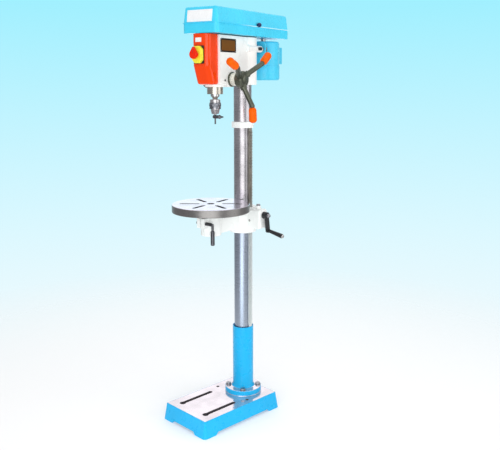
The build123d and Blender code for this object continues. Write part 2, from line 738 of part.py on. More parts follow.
def bracket_lock_y():
    """Clamp bolt of the bracket's collar, behind the column."""
    return BRACKET_R + CLAMP_EAR_Y / 2


def make_lock_lever(y, side):
    """L-shaped clamp lever: bolt through both ears, hub outside one of them, grip hanging down."""
    hub_x = CLAMP_EAR_HALF + SEAT_GAP
    end_x = hub_x + LEVER_HUB_L
    grip_x = end_x + LEVER_GRIP_R
    low = CLAMP_Z - LEVER_DROP
    lever = cyl_x(CLAMP_BOLT_R, -CLAMP_EAR_HALF - SEAT_GAP, hub_x, y, CLAMP_Z)
    lever += cyl_x(LEVER_HUB_R, hub_x, end_x, y, CLAMP_Z)
    lever += cyl_x(LEVER_ROD_R, end_x, grip_x, y, CLAMP_Z)
    lever += Pos(grip_x, y, CLAMP_Z) * Sphere(LEVER_ROD_R)
    lever += cyl(LEVER_ROD_R, low, CLAMP_Z, grip_x, y)
    nut_x = -CLAMP_EAR_HALF - SEAT_GAP
    lever += cyl_x(LEVER_HUB_R, nut_x - LEVER_NUT_T, nut_x, y, CLAMP_Z)
    grip = cyl(LEVER_GRIP_R, low, low + LEVER_GRIP_L, grip_x, y)
    lever += fillet(grip.edges().filter_by(GeomType.CIRCLE), LEVER_GRIP_R / 2)
    return lever if side > 0 else mirror(lever, about=Plane.YZ)


def make_lift_gear():
    """Gear inside the housing that climbs the rack."""
    outline = [(GEAR_X + u, -LIFT_GEAR_W / 2, GEAR_Z + v) for u, v in gear_outline(LIFT_TEETH, 180)]
    gear = prism(outline, (0, 1, 0), LIFT_GEAR_W)
    return gear - cyl_y(AXLE_R + SLIDE_GAP, -LIFT_GEAR_W / 2, LIFT_GEAR_W / 2, GEAR_X, GEAR_Z)


def make_crank_shaft():
    """Crank shaft: worm over the gear, journal in the housing, stub for the crank arm."""
    worm_x = RACK_TIP_X + 2 * PASS_GAP
    journal_x = HOUSING_X - CRANK_JOURNAL_L
    end_x = CRANK_FACE_X
    shaft = cyl_x(WORM_R, worm_x, journal_x, 0, WORM_Z)
    for k in range(WORM_THREADS):
        x = GEAR_X + (k - (WORM_THREADS - 1) / 2) * WORM_PITCH
        ring = cyl_x(WORM_R, x - WORM_GROOVE / 2, x + WORM_GROOVE / 2, 0, WORM_Z)
        shaft -= ring - cyl_x(WORM_R - WORM_GROOVE, x - WORM_GROOVE, x + WORM_GROOVE, 0, WORM_Z)
    shaft += cyl_x(CRANK_JOURNAL_R, journal_x, HOUSING_X, 0, WORM_Z)
    return shaft + cyl_x(WORM_R, HOUSING_X, end_x, 0, WORM_Z)


def make_crank_arm():
    """Crank arm with its hub, hanging down, and the riveted pin that the handle turns on."""
    arm_x = CRANK_FACE_X - CRANK_ARM_T
    low = WORM_Z - CRANK_ARM_L
    arm = cyl_x(CRANK_HUB_R, CRANK_X, CRANK_FACE_X, 0, WORM_Z)
    half = CRANK_ARM_W / 2
    arm += block(arm_x, CRANK_FACE_X, -half, half, low, WORM_Z)
    arm += cyl_x(half, arm_x, CRANK_FACE_X, 0, low)
    arm -= cyl_x(WORM_R, CRANK_X, CRANK_FACE_X, 0, WORM_Z)
    return arm + rod(handle_point(-CRANK_ARM_T / 2), handle_point(HANDLE_GAP + HANDLE_L), CRANK_PIN_R)


def handle_point(distance):
    """Point on the handle's axis at a distance from the crank arm's face, leaning down as it goes out."""
    lean = radians(HANDLE_LEAN)
    low = WORM_Z - CRANK_ARM_L
    return (CRANK_FACE_X + distance * cos(lean), 0, low - distance * sin(lean))


def make_crank_handle():
    """Tapered black handle that turns on the crank's pin."""
    start = Vector(*handle_point(HANDLE_GAP))
    end = Vector(*handle_point(HANDLE_GAP + HANDLE_L - SEAT_GAP))
    axis = end - start
    grip = Plane(origin=start, z_dir=axis) * Cone(HANDLE_R0, HANDLE_R1, axis.length, align=LOW)
    grip = fillet(grip.edges().filter_by(GeomType.CIRCLE), HANDLE_EDGE_R)
    return grip - rod(tuple(start), tuple(end), CRANK_PIN_R + SLIDE_GAP)


def crank_at_rest(shape):
    """Turn a crank piece about the worm's axis to where the crank was left, its handle a little behind."""
    return Pos(0, 0, WORM_Z) * Rot(X=CRANK_REST) * Pos(0, 0, -WORM_Z) * shape


def make_table():
    """Round table: ground top with radial slots, rim, hub, and a hollow stem in the arm's boss."""
    y = -REACH
    plate_z = TABLE_TOP - TABLE_PLATE
    table = cyl(TABLE_R, TABLE_TOP - TABLE_RIM, TABLE_TOP, 0, y)
    table = fillet(table.edges().filter_by(GeomType.CIRCLE), TABLE_EDGE_R)
    hollow = cyl(TABLE_R - TABLE_RIM_WALL, TABLE_TOP - TABLE_RIM, plate_z, 0, y)
    table -= hollow - cyl(TABLE_HUB_R, TABLE_TOP - TABLE_RIM, plate_z, 0, y)
    table += cyl(TABLE_HUB_R, TABLE_HUB_Z, plate_z, 0, y)
    table += cyl(TABLE_STEM_R, TABLE_HUB_Z - TABLE_STEM_L, plate_z, 0, y)
    table -= cyl(TABLE_BORE_R, TABLE_HUB_Z - TABLE_STEM_L, TABLE_TOP, 0, y)
    slot_l = TABLE_SLOT_R1 - TABLE_SLOT_R0
    slot_r = (TABLE_SLOT_R1 + TABLE_SLOT_R0) / 2
    slot = extrude(Pos(slot_r, 0, plate_z) * SlotOverall(slot_l, TABLE_SLOT_W), TABLE_PLATE)
    for k in range(TABLE_SLOTS):
        table -= Pos(0, y, 0) * Rot(0, 0, TABLE_TURN + 360 * k / TABLE_SLOTS) * slot
    return table


def make_head():
    """Head casting: column boss, quill boss and pinion boss joined by thin walls, open at the top."""
    s = -REACH
    body = block(-HEAD_HALF_W, HEAD_HALF_W, -HEAD_FRONT, 0, HEAD_Z0, HEAD_Z1)
    body = fillet(body.faces().sort_by(Axis.Z)[0].edges().filter_by(Axis.Y), HEAD_EDGE_R)
    body += cyl(HEAD_BOSS_R, HEAD_Z0, HEAD_Z1)
    wall_x = HEAD_HALF_W - HEAD_WALL
    pocket = block(-wall_x, wall_x, HEAD_WALL - HEAD_FRONT, 0, HEAD_Z0 + HEAD_FLOOR, HEAD_Z1)
    pocket -= cyl(COLUMN_R + HEAD_BOSS_WALL, HEAD_Z0, HEAD_Z1)
    body -= pocket
    body += cyl(QUILL_BOSS_R, HEAD_Z0, HEAD_Z1, 0, s)
    body += cyl(QUILL_RING_R, HEAD_Z0 - QUILL_RING_H, HEAD_Z0, 0, s)
    body += cyl_x(FEED_BOSS_R, -HEAD_HALF_W, HEAD_HALF_W, FEED_Y, FEED_Z)
    for side in (-1, 1):
        body += cyl_y(BAR_BOSS_R, -BAR_BOSS_FRONT, HEAD_BOSS_R, side * BAR_X, BAR_Z)
    body -= cyl(COLUMN_R + SLIDE_GAP, HEAD_Z0, COLUMN_TOP + SEAT_GAP)
    body -= cyl(QUILL_R + SLIDE_GAP, HEAD_Z0 - QUILL_RING_H, SLEEVE_DRIVE_Z0 - SLEEVE_SHOULDER_H, 0, s)
    body -= cyl(SLEEVE_SHOULDER_R, HEAD_Z0, SLEEVE_DRIVE_Z0, 0, s)
    body -= cyl(SLEEVE_BEARING_R, SLEEVE_DRIVE_Z0, HEAD_Z1, 0, s)
    body -= cyl_x(FEED_JOURNAL_R + SLIDE_GAP, -HEAD_HALF_W, HEAD_HALF_W, FEED_Y, FEED_Z)
    for side in (-1, 1):
        body -= cyl_y(BAR_R + SLIDE_GAP, -BAR_BORE_FRONT, HEAD_BOSS_R, side * BAR_X, BAR_Z)
    body -= tension_screw(SLIDE_GAP)
    for x0, x1, y, z, r in head_screw_bars():
        body -= cyl_x(r + SLIDE_GAP, x0, x1, y, z)
    for x, z in front_screw_places():
        body -= cyl_y(FRONT_SCREW_R + SLIDE_GAP, -HEAD_FRONT, -HEAD_FRONT + FRONT_SCREW_L, x, z)
    return body


def head_screw_bars():
    """Screws of the head: two that lock it on the column and one that guides the quill."""
    lock_x0 = -HEAD_BOSS_R - LOCK_SCREW_PROUD
    lock_x1 = -COLUMN_R - SEAT_GAP
    low = HEAD_Z0 + LOCK_SCREW_LOW
    high = HEAD_Z0 + LOCK_SCREW_HIGH
    guide_x0 = QUILL_R + SEAT_GAP
    guide_x1 = HEAD_HALF_W + LOCK_SCREW_PROUD / 2
    guide_z = HEAD_Z0 + GUIDE_SCREW_UP
    return [
        (lock_x0, lock_x1, 0.0, low, LOCK_SCREW_R),
        (lock_x0, lock_x1, 0.0, high, LOCK_SCREW_R),
        (guide_x0, guide_x1, -REACH, guide_z, SET_SCREW_R),
    ]


def make_head_screws():
    """The head's lock and guide screws, as separate bars with a hexagon socket."""
    screws = []
    for x0, x1, y, z, r in head_screw_bars():
        outer = x0 if x0 < 0 else x1
        inward = 1 if x0 < 0 else -1
        socket = Plane(origin=(outer, y, z), z_dir=(inward, 0, 0)) * RegularPolygon(r * SOCKET_SHARE, 6)
        screws.append(cyl_x(r, x0, x1, y, z) - extrude(socket, r))
    return group(screws)


def front_shell(inset):
    """Outer or inner form of the front cover: rounded nose whose lower front slopes back."""
    y0 = FRONT_Y + inset
    y1 = -HEAD_FRONT
    z0 = FRONT_Z0 + inset
    z1 = FRONT_Z1 - inset
    half = FRONT_HALF_W - inset
    toe_y = y0 + FRONT_SLOPE
    outline = [(y1, z0), (y1, z1), (y0, z1), (y0, FRONT_SLOPE_Z), (toe_y, z0)]
    shell = prism([(-half, y, z) for y, z in outline], (1, 0, 0), 2 * half)
    nose = [e for e in shell.edges() if abs(abs(e.center().X) - half) < 0.01 and e.center().Y < toe_y - 1]
    nose = [e for e in nose if abs(e.tangent_at(0.5).Z) > 0.5]
    shell = fillet(nose, FRONT_CORNER_R - inset)
    toe = [e for e in shell.edges() if e.bounding_box().max.Z < z0 + 0.01 and e.center().Y < y1 - 1]
    front_toe = [e for e in toe if e.center().Y < toe_y + 0.01]
    return fillet(front_toe, FRONT_TOE_R - inset)


def make_front_cover():
    """Red front cover: thin shell screwed to the casting, with a hole for the switch."""
    cover = front_shell(0) - front_shell(FRONT_WALL)
    cover -= cyl(QUILL_BOSS_R + SEAT_GAP, FRONT_Z0, FRONT_Z1, 0, -REACH)
    w = SWITCH_BODY_W / 2 + SEAT_GAP
    h = SWITCH_BODY_H / 2 + SEAT_GAP
    inner_y = FRONT_Y + FRONT_WALL
    return cover - block(SWITCH_X - w, SWITCH_X + w, FRONT_Y, inner_y, SWITCH_Z - h, SWITCH_Z + h)


def front_screw_places():
    """The four screws in the casting's front, inside the cover."""
    x = FRONT_HALF_W - FRONT_SCREW_INSET
    low = FRONT_Z0 + 2 * FRONT_SCREW_INSET
    high = FRONT_Z1 - 2 * FRONT_SCREW_INSET
    return [(side * x, z) for side in (-1, 1) for z in (low, high)]


def make_front_screws():
    """Pan-head screws in the casting's front that the cover hooks over."""
    screws = []
    for x, z in front_screw_places():
        head = cyl_y(FRONT_SCREW_HEAD_R, -HEAD_FRONT - FRONT_SCREW_HEAD_H, -HEAD_FRONT, x, z)
        head = fillet(head.faces().sort_by(Axis.Y)[0].edges(), FRONT_SCREW_HEAD_H / 2)
        screws.append(head + cyl_y(FRONT_SCREW_R, -HEAD_FRONT, -HEAD_FRONT + FRONT_SCREW_L, x, z))
    return group(screws)


def make_switch_body():
    """Black switch block through the front cover's wall, with a flange on the cover's face."""
    back = FRONT_Y + FRONT_WALL + SWITCH_BODY_D
    w = SWITCH_BODY_W / 2
    h = SWITCH_BODY_H / 2
    body = block(SWITCH_X - w, SWITCH_X + w, FRONT_Y, back, SWITCH_Z - h, SWITCH_Z + h)
    w = SWITCH_FLANGE_W / 2
    h = SWITCH_FLANGE_H / 2
    body += block(SWITCH_X - w, SWITCH_X + w, SWITCH_FACE_Y, FRONT_Y, SWITCH_Z - h, SWITCH_Z + h)
    return body - cyl_y(KNOB_SHAFT_R + SLIDE_GAP, SWITCH_FACE_Y, back, SWITCH_X, SWITCH_Z)


def switch_plane(y):
    """Upright drawing plane at a depth in front of the cover, facing the operator."""
    return Plane(origin=(SWITCH_X, y, SWITCH_Z), x_dir=(1, 0, 0), z_dir=(0, -1, 0))


def make_switch_plate():
    """Thick yellow switch plate with cut corners, on the switch's flange."""
    outline = chamfer(Rectangle(SWITCH_PLATE_W, SWITCH_PLATE_H).vertices(), SWITCH_CHAMFER)
    plate = extrude(switch_plane(SWITCH_FACE_Y) * outline, SWITCH_PLATE_T)
    plate = fillet(plate.faces().sort_by(Axis.Y)[0].edges(), SWITCH_EDGE_R)
    return plate - cyl_y(KNOB_SHAFT_R + SLIDE_GAP, PLATE_FACE_Y, SWITCH_FACE_Y, SWITCH_X, SWITCH_Z)


def make_switch_knob():
    """Red rotary knob: round head drawn out to a pointer, on a neck and a shaft into the switch."""
    back = PLATE_FACE_Y - SEAT_GAP
    tip = Pos(0, KNOB_POINT - KNOB_TIP_R) * Circle(KNOB_TIP_R)
    outline = make_hull(Circle(KNOB_R).edges() + tip.edges())
    head_y = back - KNOB_NECK_L
    knob = extrude(switch_plane(head_y) * outline, KNOB_T)
    knob = fillet(knob.faces().sort_by(Axis.Y)[0].edges(), KNOB_EDGE_R)
    knob += cyl_y(KNOB_NECK_R, head_y, back, SWITCH_X, SWITCH_Z)
    return knob + cyl_y(KNOB_SHAFT_R, back, FRONT_Y + KNOB_SHAFT_IN, SWITCH_X, SWITCH_Z)


def cover_outline(inset, z):
    """Plan of the belt cover: a long rectangle with rounded corners."""
    half = COVER_HALF_W - inset
    y0 = -COVER_FRONT + inset
    y1 = COVER_REAR - inset
    plan = Pos(0, (y0 + y1) / 2, z) * Rectangle(2 * half, y1 - y0)
    plan = fillet(plan.vertices().sort_by(Axis.Y)[:2], COVER_FRONT_R - inset)
    return fillet(plan.vertices().sort_by(Axis.Y)[-2:], COVER_REAR_R - inset)


def hinge_places():
    """Middle of each lid hinge along Y."""
    return (-HINGE_FRONT, HINGE_REAR)


def knuckle(y0, y1, below):
    """One hinge knuckle with the tab that joins it to the cover's left wall."""
    z0, z1 = (HINGE_Z - HINGE_R, HINGE_Z) if below else (HINGE_Z + PASS_GAP, HINGE_Z + HINGE_R)
    inner = -COVER_HALF_W + COVER_WALL / 2
    tab = block(HINGE_X, inner, y0, y1, z0, z1)
    return tab + cyl_y(HINGE_R, y0, y1, HINGE_X, HINGE_Z)


def make_belt_pan():
    """Lower half of the belt cover, screwed on the head: floor, wall, rolled lip and hinge knuckles."""
    pan = extrude(cover_outline(0, HEAD_Z1), PAN_H)
    pan += extrude(cover_outline(-PAN_LIP, SEAM_Z - PAN_LIP_T), PAN_LIP_T)
    pan -= extrude(cover_outline(COVER_WALL, HEAD_Z1 + PAN_FLOOR), PAN_H)
    pan -= cyl(SLEEVE_BEARING_R, HEAD_Z1, SEAM_Z, 0, -REACH)
    slot_r = MOTOR_SHAFT_R + MOTOR_SHAFT_GAP
    slot = Pos(0, MOTOR_Y - MOTOR_TRAVEL / 2, HEAD_Z1) * Rot(0, 0, 90)
    pan -= extrude(slot * SlotOverall(2 * slot_r + MOTOR_TRAVEL, 2 * slot_r), PAN_FLOOR)
    for y in hinge_places():
        low = HINGE_KNUCKLE / 2
        high = low + HINGE_KNUCKLE
        pan -= block(HINGE_X - HINGE_R, -COVER_HALF_W, y - low, y + high, HINGE_Z - HINGE_R, SEAM_Z)
        pan += knuckle(y - low, y + low - SEAT_GAP, True)
    for y in hinge_places():
        pan -= cyl_y(HINGE_PIN_R, y - HINGE_KNUCKLE, y + HINGE_KNUCKLE, HINGE_X, HINGE_Z)
    return pan


def make_belt_lid():
    """Upper half of the belt cover: drafted hood that swings up on its left side."""
    draft = degrees(atan(LID_DRAFT / LID_H))
    hood = extrude(cover_outline(0, SEAM_Z), LID_H, taper=draft)
    hood = fillet(hood.faces().sort_by(Axis.Z)[-1].edges(), LID_EDGE_R)
    hollow = extrude(cover_outline(COVER_WALL, SEAM_Z), LID_H - COVER_WALL, taper=draft)
    hood -= fillet(hollow.faces().sort_by(Axis.Z)[-1].edges(), LID_EDGE_R - COVER_WALL)
    for y in hinge_places():
        low = HINGE_KNUCKLE / 2
        hood += knuckle(y + low, y + low + HINGE_KNUCKLE, False)
    for y in hinge_places():
        hood -= cyl_y(HINGE_PIN_R + SLIDE_GAP, y - HINGE_KNUCKLE, y + 2 * HINGE_KNUCKLE, HINGE_X, HINGE_Z)
    return hood - lid_knob_stem()


def lid_knob_stem():
    """Stem of the lid knob, through the lid's right wall and out past the pan's lip."""
    wall_x = COVER_HALF_W - LID_DRAFT * (LID_KNOB_Z - SEAM_Z) / LID_H
    return cyl_x(LID_KNOB_STEM_R, wall_x - LID_KNOB_STEM_IN, LID_KNOB_X, LID_KNOB_Y, LID_KNOB_Z)


def make_lid_knob():
    """Round knob on the lid's right side, for lifting it."""
    knob = cyl_x(LID_KNOB_R, LID_KNOB_X, LID_KNOB_X + LID_KNOB_T, LID_KNOB_Y, LID_KNOB_Z)
    knob = fillet(knob.faces().sort_by(Axis.X)[-1].edges(), LID_KNOB_R / 2)
    return knob + lid_knob_stem()


def make_hinge_pins():
    """Pins of the two lid hinges, held in the pan's knuckles."""
    pins = []
    for y in hinge_places():
        low = HINGE_KNUCKLE / 2
        pins.append(cyl_y(HINGE_PIN_R, y - low, y + low + HINGE_KNUCKLE, HINGE_X, HINGE_Z))
    return group(pins)


def step_pulley(steps, bore_r, y):
    """Stepped V-pulley turned about an upright axis."""
    outline = [(bore_r, PULLEY_Z0)]
    for k, r in enumerate(steps):
        z = PULLEY_Z0 + k * STEP_H
        top = z + STEP_H
        outline += [(r, z), (r, z + STEP_LAND), (r - GROOVE_DEPTH, z + STEP_LAND + GROOVE_RUN)]
        outline += [(r - GROOVE_DEPTH, top - STEP_LAND - GROOVE_RUN), (r, top - STEP_LAND), (r, top)]
    outline.append((bore_r, PULLEY_TOP))
    profile = make_face(Polyline(*[(r, 0, z) for r, z in outline], close=True))
    return Pos(0, y, 0) * revolve(profile, Axis.Z)


def motor_steps():
    """Steps of the motor pulley, which mirror those of the spindle pulley."""
    return [STEP_SUM - r for r in SPINDLE_STEPS]


def belt_hull(sunk):
    """Face inside a line that wraps both pulleys at the belt's step."""
    spindle_r = SPINDLE_STEPS[BELT_STEP] - sunk
    motor_r = motor_steps()[BELT_STEP] - sunk
    front = Pos(0, -REACH) * Circle(spindle_r)
    rear = Pos(0, MOTOR_Y) * Circle(motor_r)
    return make_hull(front.edges() + rear.edges())


def make_belt():
    """Endless V-belt on the second step of both pulleys."""
    z = PULLEY_Z0 + (BELT_STEP + 0.5) * STEP_H - BELT_W / 2
    loop = belt_hull(BELT_SUNK) - belt_hull(BELT_SUNK + BELT_T)
    return extrude(Pos(0, 0, z) * loop, BELT_W)


def spline_bar(core_r, tip_r, width, z0, z1):
    """Splined bar on the spindle axis."""
    bar = cyl(core_r, z0, z1)
    for k in range(SPLINES):
        bar += Rot(0, 0, 360 * k / SPLINES) * block(0, tip_r, -width / 2, width / 2, z0, z1)
    return Pos(0, -REACH, 0) * bar


def make_drive_sleeve():
    """Sleeve that carries the spindle pulley and drives the spindle through splines."""
    sleeve = cyl(SLEEVE_DRIVE_R, SLEEVE_DRIVE_Z0, SLEEVE_DRIVE_TOP, 0, -REACH)
    z0 = SLEEVE_DRIVE_Z0
    gap = SLIDE_GAP
    return sleeve - spline_bar(SPLINE_R + gap, SPLINE_TIP_R + gap, SPLINE_W + 2 * gap, z0, SLEEVE_DRIVE_TOP)


def make_sleeve_bearings():
    """Two bearings in the casting's top that the drive sleeve turns in."""
    rings = []
    for z in (SLEEVE_DRIVE_Z0, HEAD_Z1 - SLEEVE_BEARING_H):
        ring = cyl(SLEEVE_BEARING_R, z, z + SLEEVE_BEARING_H, 0, -REACH)
        rings.append(ring - cyl(SLEEVE_DRIVE_R + SLIDE_GAP, z, z + SLEEVE_BEARING_H, 0, -REACH))
    return group(rings)


def make_quill():
    """Quill: tube with a bearing seat at each end and rack teeth along its back."""
    quill = cyl(QUILL_R, QUILL_Z0, QUILL_Z1) - cyl(QUILL_BORE_R, QUILL_Z0, QUILL_Z1)
    for z0, z1 in quill_seats():
        quill -= cyl(QUILL_BEARING_R, z0, z1)
    flat = QUILL_PITCH_LINE + RACK_ADDENDUM
    top = FEED_Z + QUILL_TRAVEL + SPARE_TEETH * TOOTH_PITCH
    bottom = FEED_Z - (SPARE_TEETH + 1) * TOOTH_PITCH
    quill -= block(-QUILL_R, QUILL_R, flat, QUILL_R, bottom, min(top, QUILL_Z1))
    tan_p = tan(radians(PRESSURE_ANGLE))
    half = TOOTH_PITCH / 4 + BACKLASH / 2
    root = QUILL_PITCH_LINE - DEDENDUM
    rise = QUILL_R - QUILL_PITCH_LINE
    gaps = int(QUILL_TRAVEL / TOOTH_PITCH) + SPARE_TEETH + 1
    for k in range(-SPARE_TEETH, gaps):
        z = FEED_Z + k * TOOTH_PITCH
        near = half - DEDENDUM * tan_p
        far = half + rise * tan_p
        gap = [(root, z - near), (QUILL_R, z - far), (QUILL_R, z + far), (root, z + near)]
        quill -= prism([(-QUILL_R, y, h) for y, h in gap], (1, 0, 0), 2 * QUILL_R)
    return Pos(0, -REACH, 0) * quill


def quill_seats():
    """Bearing seats at the quill's two ends."""
    return [(QUILL_Z0, QUILL_Z0 + QUILL_BEARING_H), (QUILL_Z1 - QUILL_BEARING_H, QUILL_Z1)]


def make_quill_bearings():
    """Bearings that the spindle turns in, one at each end of the quill."""
    rings = []
    for z0, z1 in quill_seats():
        ring = cyl(QUILL_BEARING_R, z0, z1, 0, -REACH)
        rings.append(ring - cyl(SPINDLE_R + SLIDE_GAP, z0, z1, 0, -REACH))
    return group(rings)


def make_spindle():
    """Spindle: splined top, plain middle in the quill's bearings, nose below the quill."""
    nose_z = QUILL_Z0 - SEAT_GAP
    spindle = cyl(SPINDLE_R, SPINDLE_NOSE_Z, QUILL_Z1, 0, -REACH)
    nose = cyl(SPINDLE_NOSE_R, SPINDLE_NOSE_Z, nose_z, 0, -REACH)
    spindle += chamfer(nose.faces().sort_by(Axis.Z)[0].edges(), SPINDLE_NOSE_CHAMFER)
    return spindle + spline_bar(SPLINE_R, SPLINE_TIP_R, SPLINE_W, QUILL_Z1, SPINDLE_TOP)


def make_arbor():
    """Tapered arbor between the spindle's nose and the chuck."""
    return Pos(0, -REACH, CHUCK_TOP) * Cone(ARBOR_R1, ARBOR_R0, ARBOR_SHOWN, align=LOW)


def jaw_axis(k):
    """Start of one jaw's axis at the chuck's nose and its direction, up and outwards."""
    angle = radians(360 * k / JAWS + 90)
    lean = radians(JAW_LEAN)
    out = (cos(angle), sin(angle))
    start = (JAW_OFFSET * out[0], JAW_OFFSET * out[1] - REACH, CHUCK_NOSE_Z)
    direction = (sin(lean) * out[0], sin(lean) * out[1], cos(lean))
    return start, direction


def along(start, direction, distance):
    """Point a distance along a line."""
    return tuple(a + distance * b for a, b in zip(start, direction))


def make_chuck_body():
    """Chuck core: cap, round core and tapered nose, with three leaning jaw bores."""
    y = -REACH
    cap_z = CHUCK_TOP - CHUCK_CAP_H
    body = cyl(CHUCK_CAP_R, cap_z, CHUCK_TOP, 0, y)
    body = chamfer(body.faces().sort_by(Axis.Z)[-1].edges(), CHUCK_CHAMFER)
    nose_top = CHUCK_NOSE_Z + CHUCK_NOSE_H
    body += cyl(CHUCK_CORE_R, nose_top, cap_z, 0, y)
    body += Pos(0, y, CHUCK_NOSE_Z) * Cone(CHUCK_NOSE_R, CHUCK_CORE_R, CHUCK_NOSE_H, align=LOW)
    body -= cyl(CHUCK_BORE_R, CHUCK_NOSE_Z, CHUCK_NOSE_Z + JAW_L + JAW_TRAVEL, 0, y)
    for k in range(JAWS):
        start, direction = jaw_axis(k)
        low = along(start, direction, -2 * JAW_R)
        high = along(start, direction, JAW_L + JAW_TRAVEL + JAW_END_GAP)
        body -= rod(low, high, JAW_R + SLIDE_GAP)
    return body


def make_jaw(k):
    """One jaw: leaning bar with a seat that grips the bar in the chuck."""
    start, direction = jaw_axis(k)
    low = along(start, direction, -2 * JAW_R)
    high = along(start, direction, JAW_L)
    jaw = rod(low, high, JAW_R)
    z0 = CHUCK_NOSE_Z - JAW_PROUD
    jaw -= cyl(2 * CHUCK_SLEEVE_R, z0 - 4 * JAW_R, z0, 0, -REACH)
    return jaw - cyl(KEY_BAR_R + SLIDE_GAP, z0, CHUCK_TOP, 0, -REACH)


def make_chuck_sleeve():
    """Outer chuck sleeve: turned to move the jaws, with bevel teeth for the key on its lower rim."""
    top = CHUCK_TOP - CHUCK_CAP_H - SEAT_GAP
    low = top - CHUCK_SLEEVE_H
    sleeve = cyl(CHUCK_SLEEVE_R, low, top, 0, -REACH)
    sleeve = chamfer(sleeve.faces().sort_by(Axis.Z)[-1].edges(), CHUCK_SLEEVE_CHAMFER)
    sleeve -= cyl(CHUCK_CORE_R + SLIDE_GAP, low, top, 0, -REACH)
    width = pi * CHUCK_SLEEVE_R / CHUCK_TEETH
    inner = CHUCK_CORE_R - SEAT_GAP
    outer = CHUCK_SLEEVE_R + SEAT_GAP
    notch = block(inner, outer, -width / 2, width / 2, low, low + CHUCK_TOOTH_DEPTH)
    for k in range(CHUCK_TEETH):
        sleeve -= Pos(0, -REACH, 0) * Rot(0, 0, 360 * k / CHUCK_TEETH) * notch
    return sleeve


def make_chuck_key():
    """Chuck key held by its cross bar in the jaws, its pinion pointing to the right."""
    y = -REACH
    key = cyl_x(KEY_BODY_R, -KEY_BODY_BACK, KEY_BODY_L, y, KEY_Z)
    key = fillet(key.faces().sort_by(Axis.X)[0].edges(), KEY_BODY_R / 3)
    end = KEY_BODY_L + KEY_PINION_L
    key += cone_x(KEY_PINION_R, KEY_PINION_TIP_R, KEY_BODY_L, end, y, KEY_Z)
    key += cyl_x(KEY_PILOT_R, end, end + KEY_PILOT_L, y, KEY_Z)
    return key + cyl(KEY_BAR_R, KEY_BAR_Z0, CHUCK_NOSE_Z + KEY_GRIPPED, 0, y)


def make_feed_shaft():
    """Pinion shaft: teeth behind the quill, journals in the casting, stub for dial and hub."""
    half = FEED_PINION_W / 2
    outline = [(-half, FEED_Y + u, FEED_Z + v) for u, v in gear_outline(FEED_TEETH, 180)]
    shaft = prism(outline, (1, 0, 0), FEED_PINION_W)
    neck = half + FEED_NECK
    shaft += cyl_x(FEED_NECK_R, -neck, neck, FEED_Y, FEED_Z)
    shaft += cyl_x(FEED_JOURNAL_R, neck, HEAD_HALF_W, FEED_Y, FEED_Z)
    shaft += cyl_x(FEED_JOURNAL_R, -HEAD_HALF_W, -neck, FEED_Y, FEED_Z)
    left = -HEAD_HALF_W - SPRING_CAP_T + 2 * SPRING_CAP_WALL
    return shaft + cyl_x(FEED_SHAFT_R, left, HUB_X + FEED_HUB_T, FEED_Y, FEED_Z)


def ring_x(r, bore_r, x0, x1):
    """Ring on the feed axis."""
    return cyl_x(r, x0, x1, FEED_Y, FEED_Z) - cyl_x(bore_r, x0, x1, FEED_Y, FEED_Z)


def make_feed_flange():
    """Fixed dark flange on the casting's side behind the depth dial."""
    ring = cyl_x(FEED_FLANGE_R, HEAD_HALF_W, FLANGE_X, FEED_Y, FEED_Z)
    ring = fillet(ring.faces().sort_by(Axis.X)[-1].edges(), FEED_FLANGE_T / 4)
    return ring - cyl_x(FEED_SHAFT_R + SLIDE_GAP, HEAD_HALF_W, FLANGE_X, FEED_Y, FEED_Z)


def arm_points(k):
    """Root, knee and grip end of one feed arm, which leans outwards and then runs square to the axis."""
    angle = radians(FEED_ARM_ANGLE + 360 * k / FEED_ARMS)
    u = (cos(angle), sin(angle))
    x0 = HUB_X + FEED_HUB_T / 2
    x1 = x0 + FEED_ARM_LEAN
    places = ((x0, FEED_ARM_ROOT), (x1, FEED_ARM_KNEE), (x1, FEED_ARM_KNEE + GRIP_L))
    return [(x, FEED_Y + r * u[0], FEED_Z + r * u[1]) for x, r in places]


def feed_arm(k):
    """One bent arm: rod, rounded knee, and a thin pin for the grip."""
    root, knee, end = arm_points(k)
    outward = Vector(*end) - Vector(*knee)
    pin_end = Vector(*knee) + outward * (FEED_PIN_L / outward.length)
    arm = rod(root, knee, FEED_ARM_R) + Pos(*knee) * Sphere(FEED_ARM_R)
    return arm + rod(knee, tuple(pin_end), FEED_PIN_R)


def feed_grip(k):
    """One grip: rounded barrel over the arm's pin."""
    root, knee, end = arm_points(k)
    outward = Vector(*end) - Vector(*knee)
    start = Vector(*knee) + outward * (GRIP_MOUTH / outward.length)
    grip = rod(tuple(start), end, GRIP_R)
    grip = fillet(grip.edges().filter_by(GeomType.CIRCLE), GRIP_END_R)
    return grip - feed_arm(k)


def hub_boss(k):
    """Round boss on the hub round the root of one arm."""
    root, knee, end = arm_points(k)
    outward = Vector(*knee) - Vector(*root)
    tip = Vector(*root) + outward * (HUB_BOSS_L / outward.length)
    return rod(root, tuple(tip), HUB_BOSS_R)


def make_feed_hub():
    """Dark hub on the pinion shaft, with a boss for each of the three arms that screw into it."""
    hub = cyl_x(FEED_HUB_R, HUB_X, HUB_X + FEED_HUB_T, FEED_Y, FEED_Z)
    hub = fillet(hub.edges().filter_by(GeomType.CIRCLE), FEED_HUB_EDGE_R)
    for k in range(FEED_ARMS):
        hub += hub_boss(k)
    hub -= cyl_x(FEED_SHAFT_R, HUB_X, HUB_X + FEED_HUB_T, FEED_Y, FEED_Z)
    for k in range(FEED_ARMS):
        hub -= feed_arm(k)
    return hub


def make_feed_arms():
    """The three bent arms, cut off at the pinion shaft."""
    shaft = cyl_x(FEED_SHAFT_R, HUB_X, HUB_X + FEED_HUB_T, FEED_Y, FEED_Z)
    return group([feed_arm(k) - shaft for k in range(FEED_ARMS)])


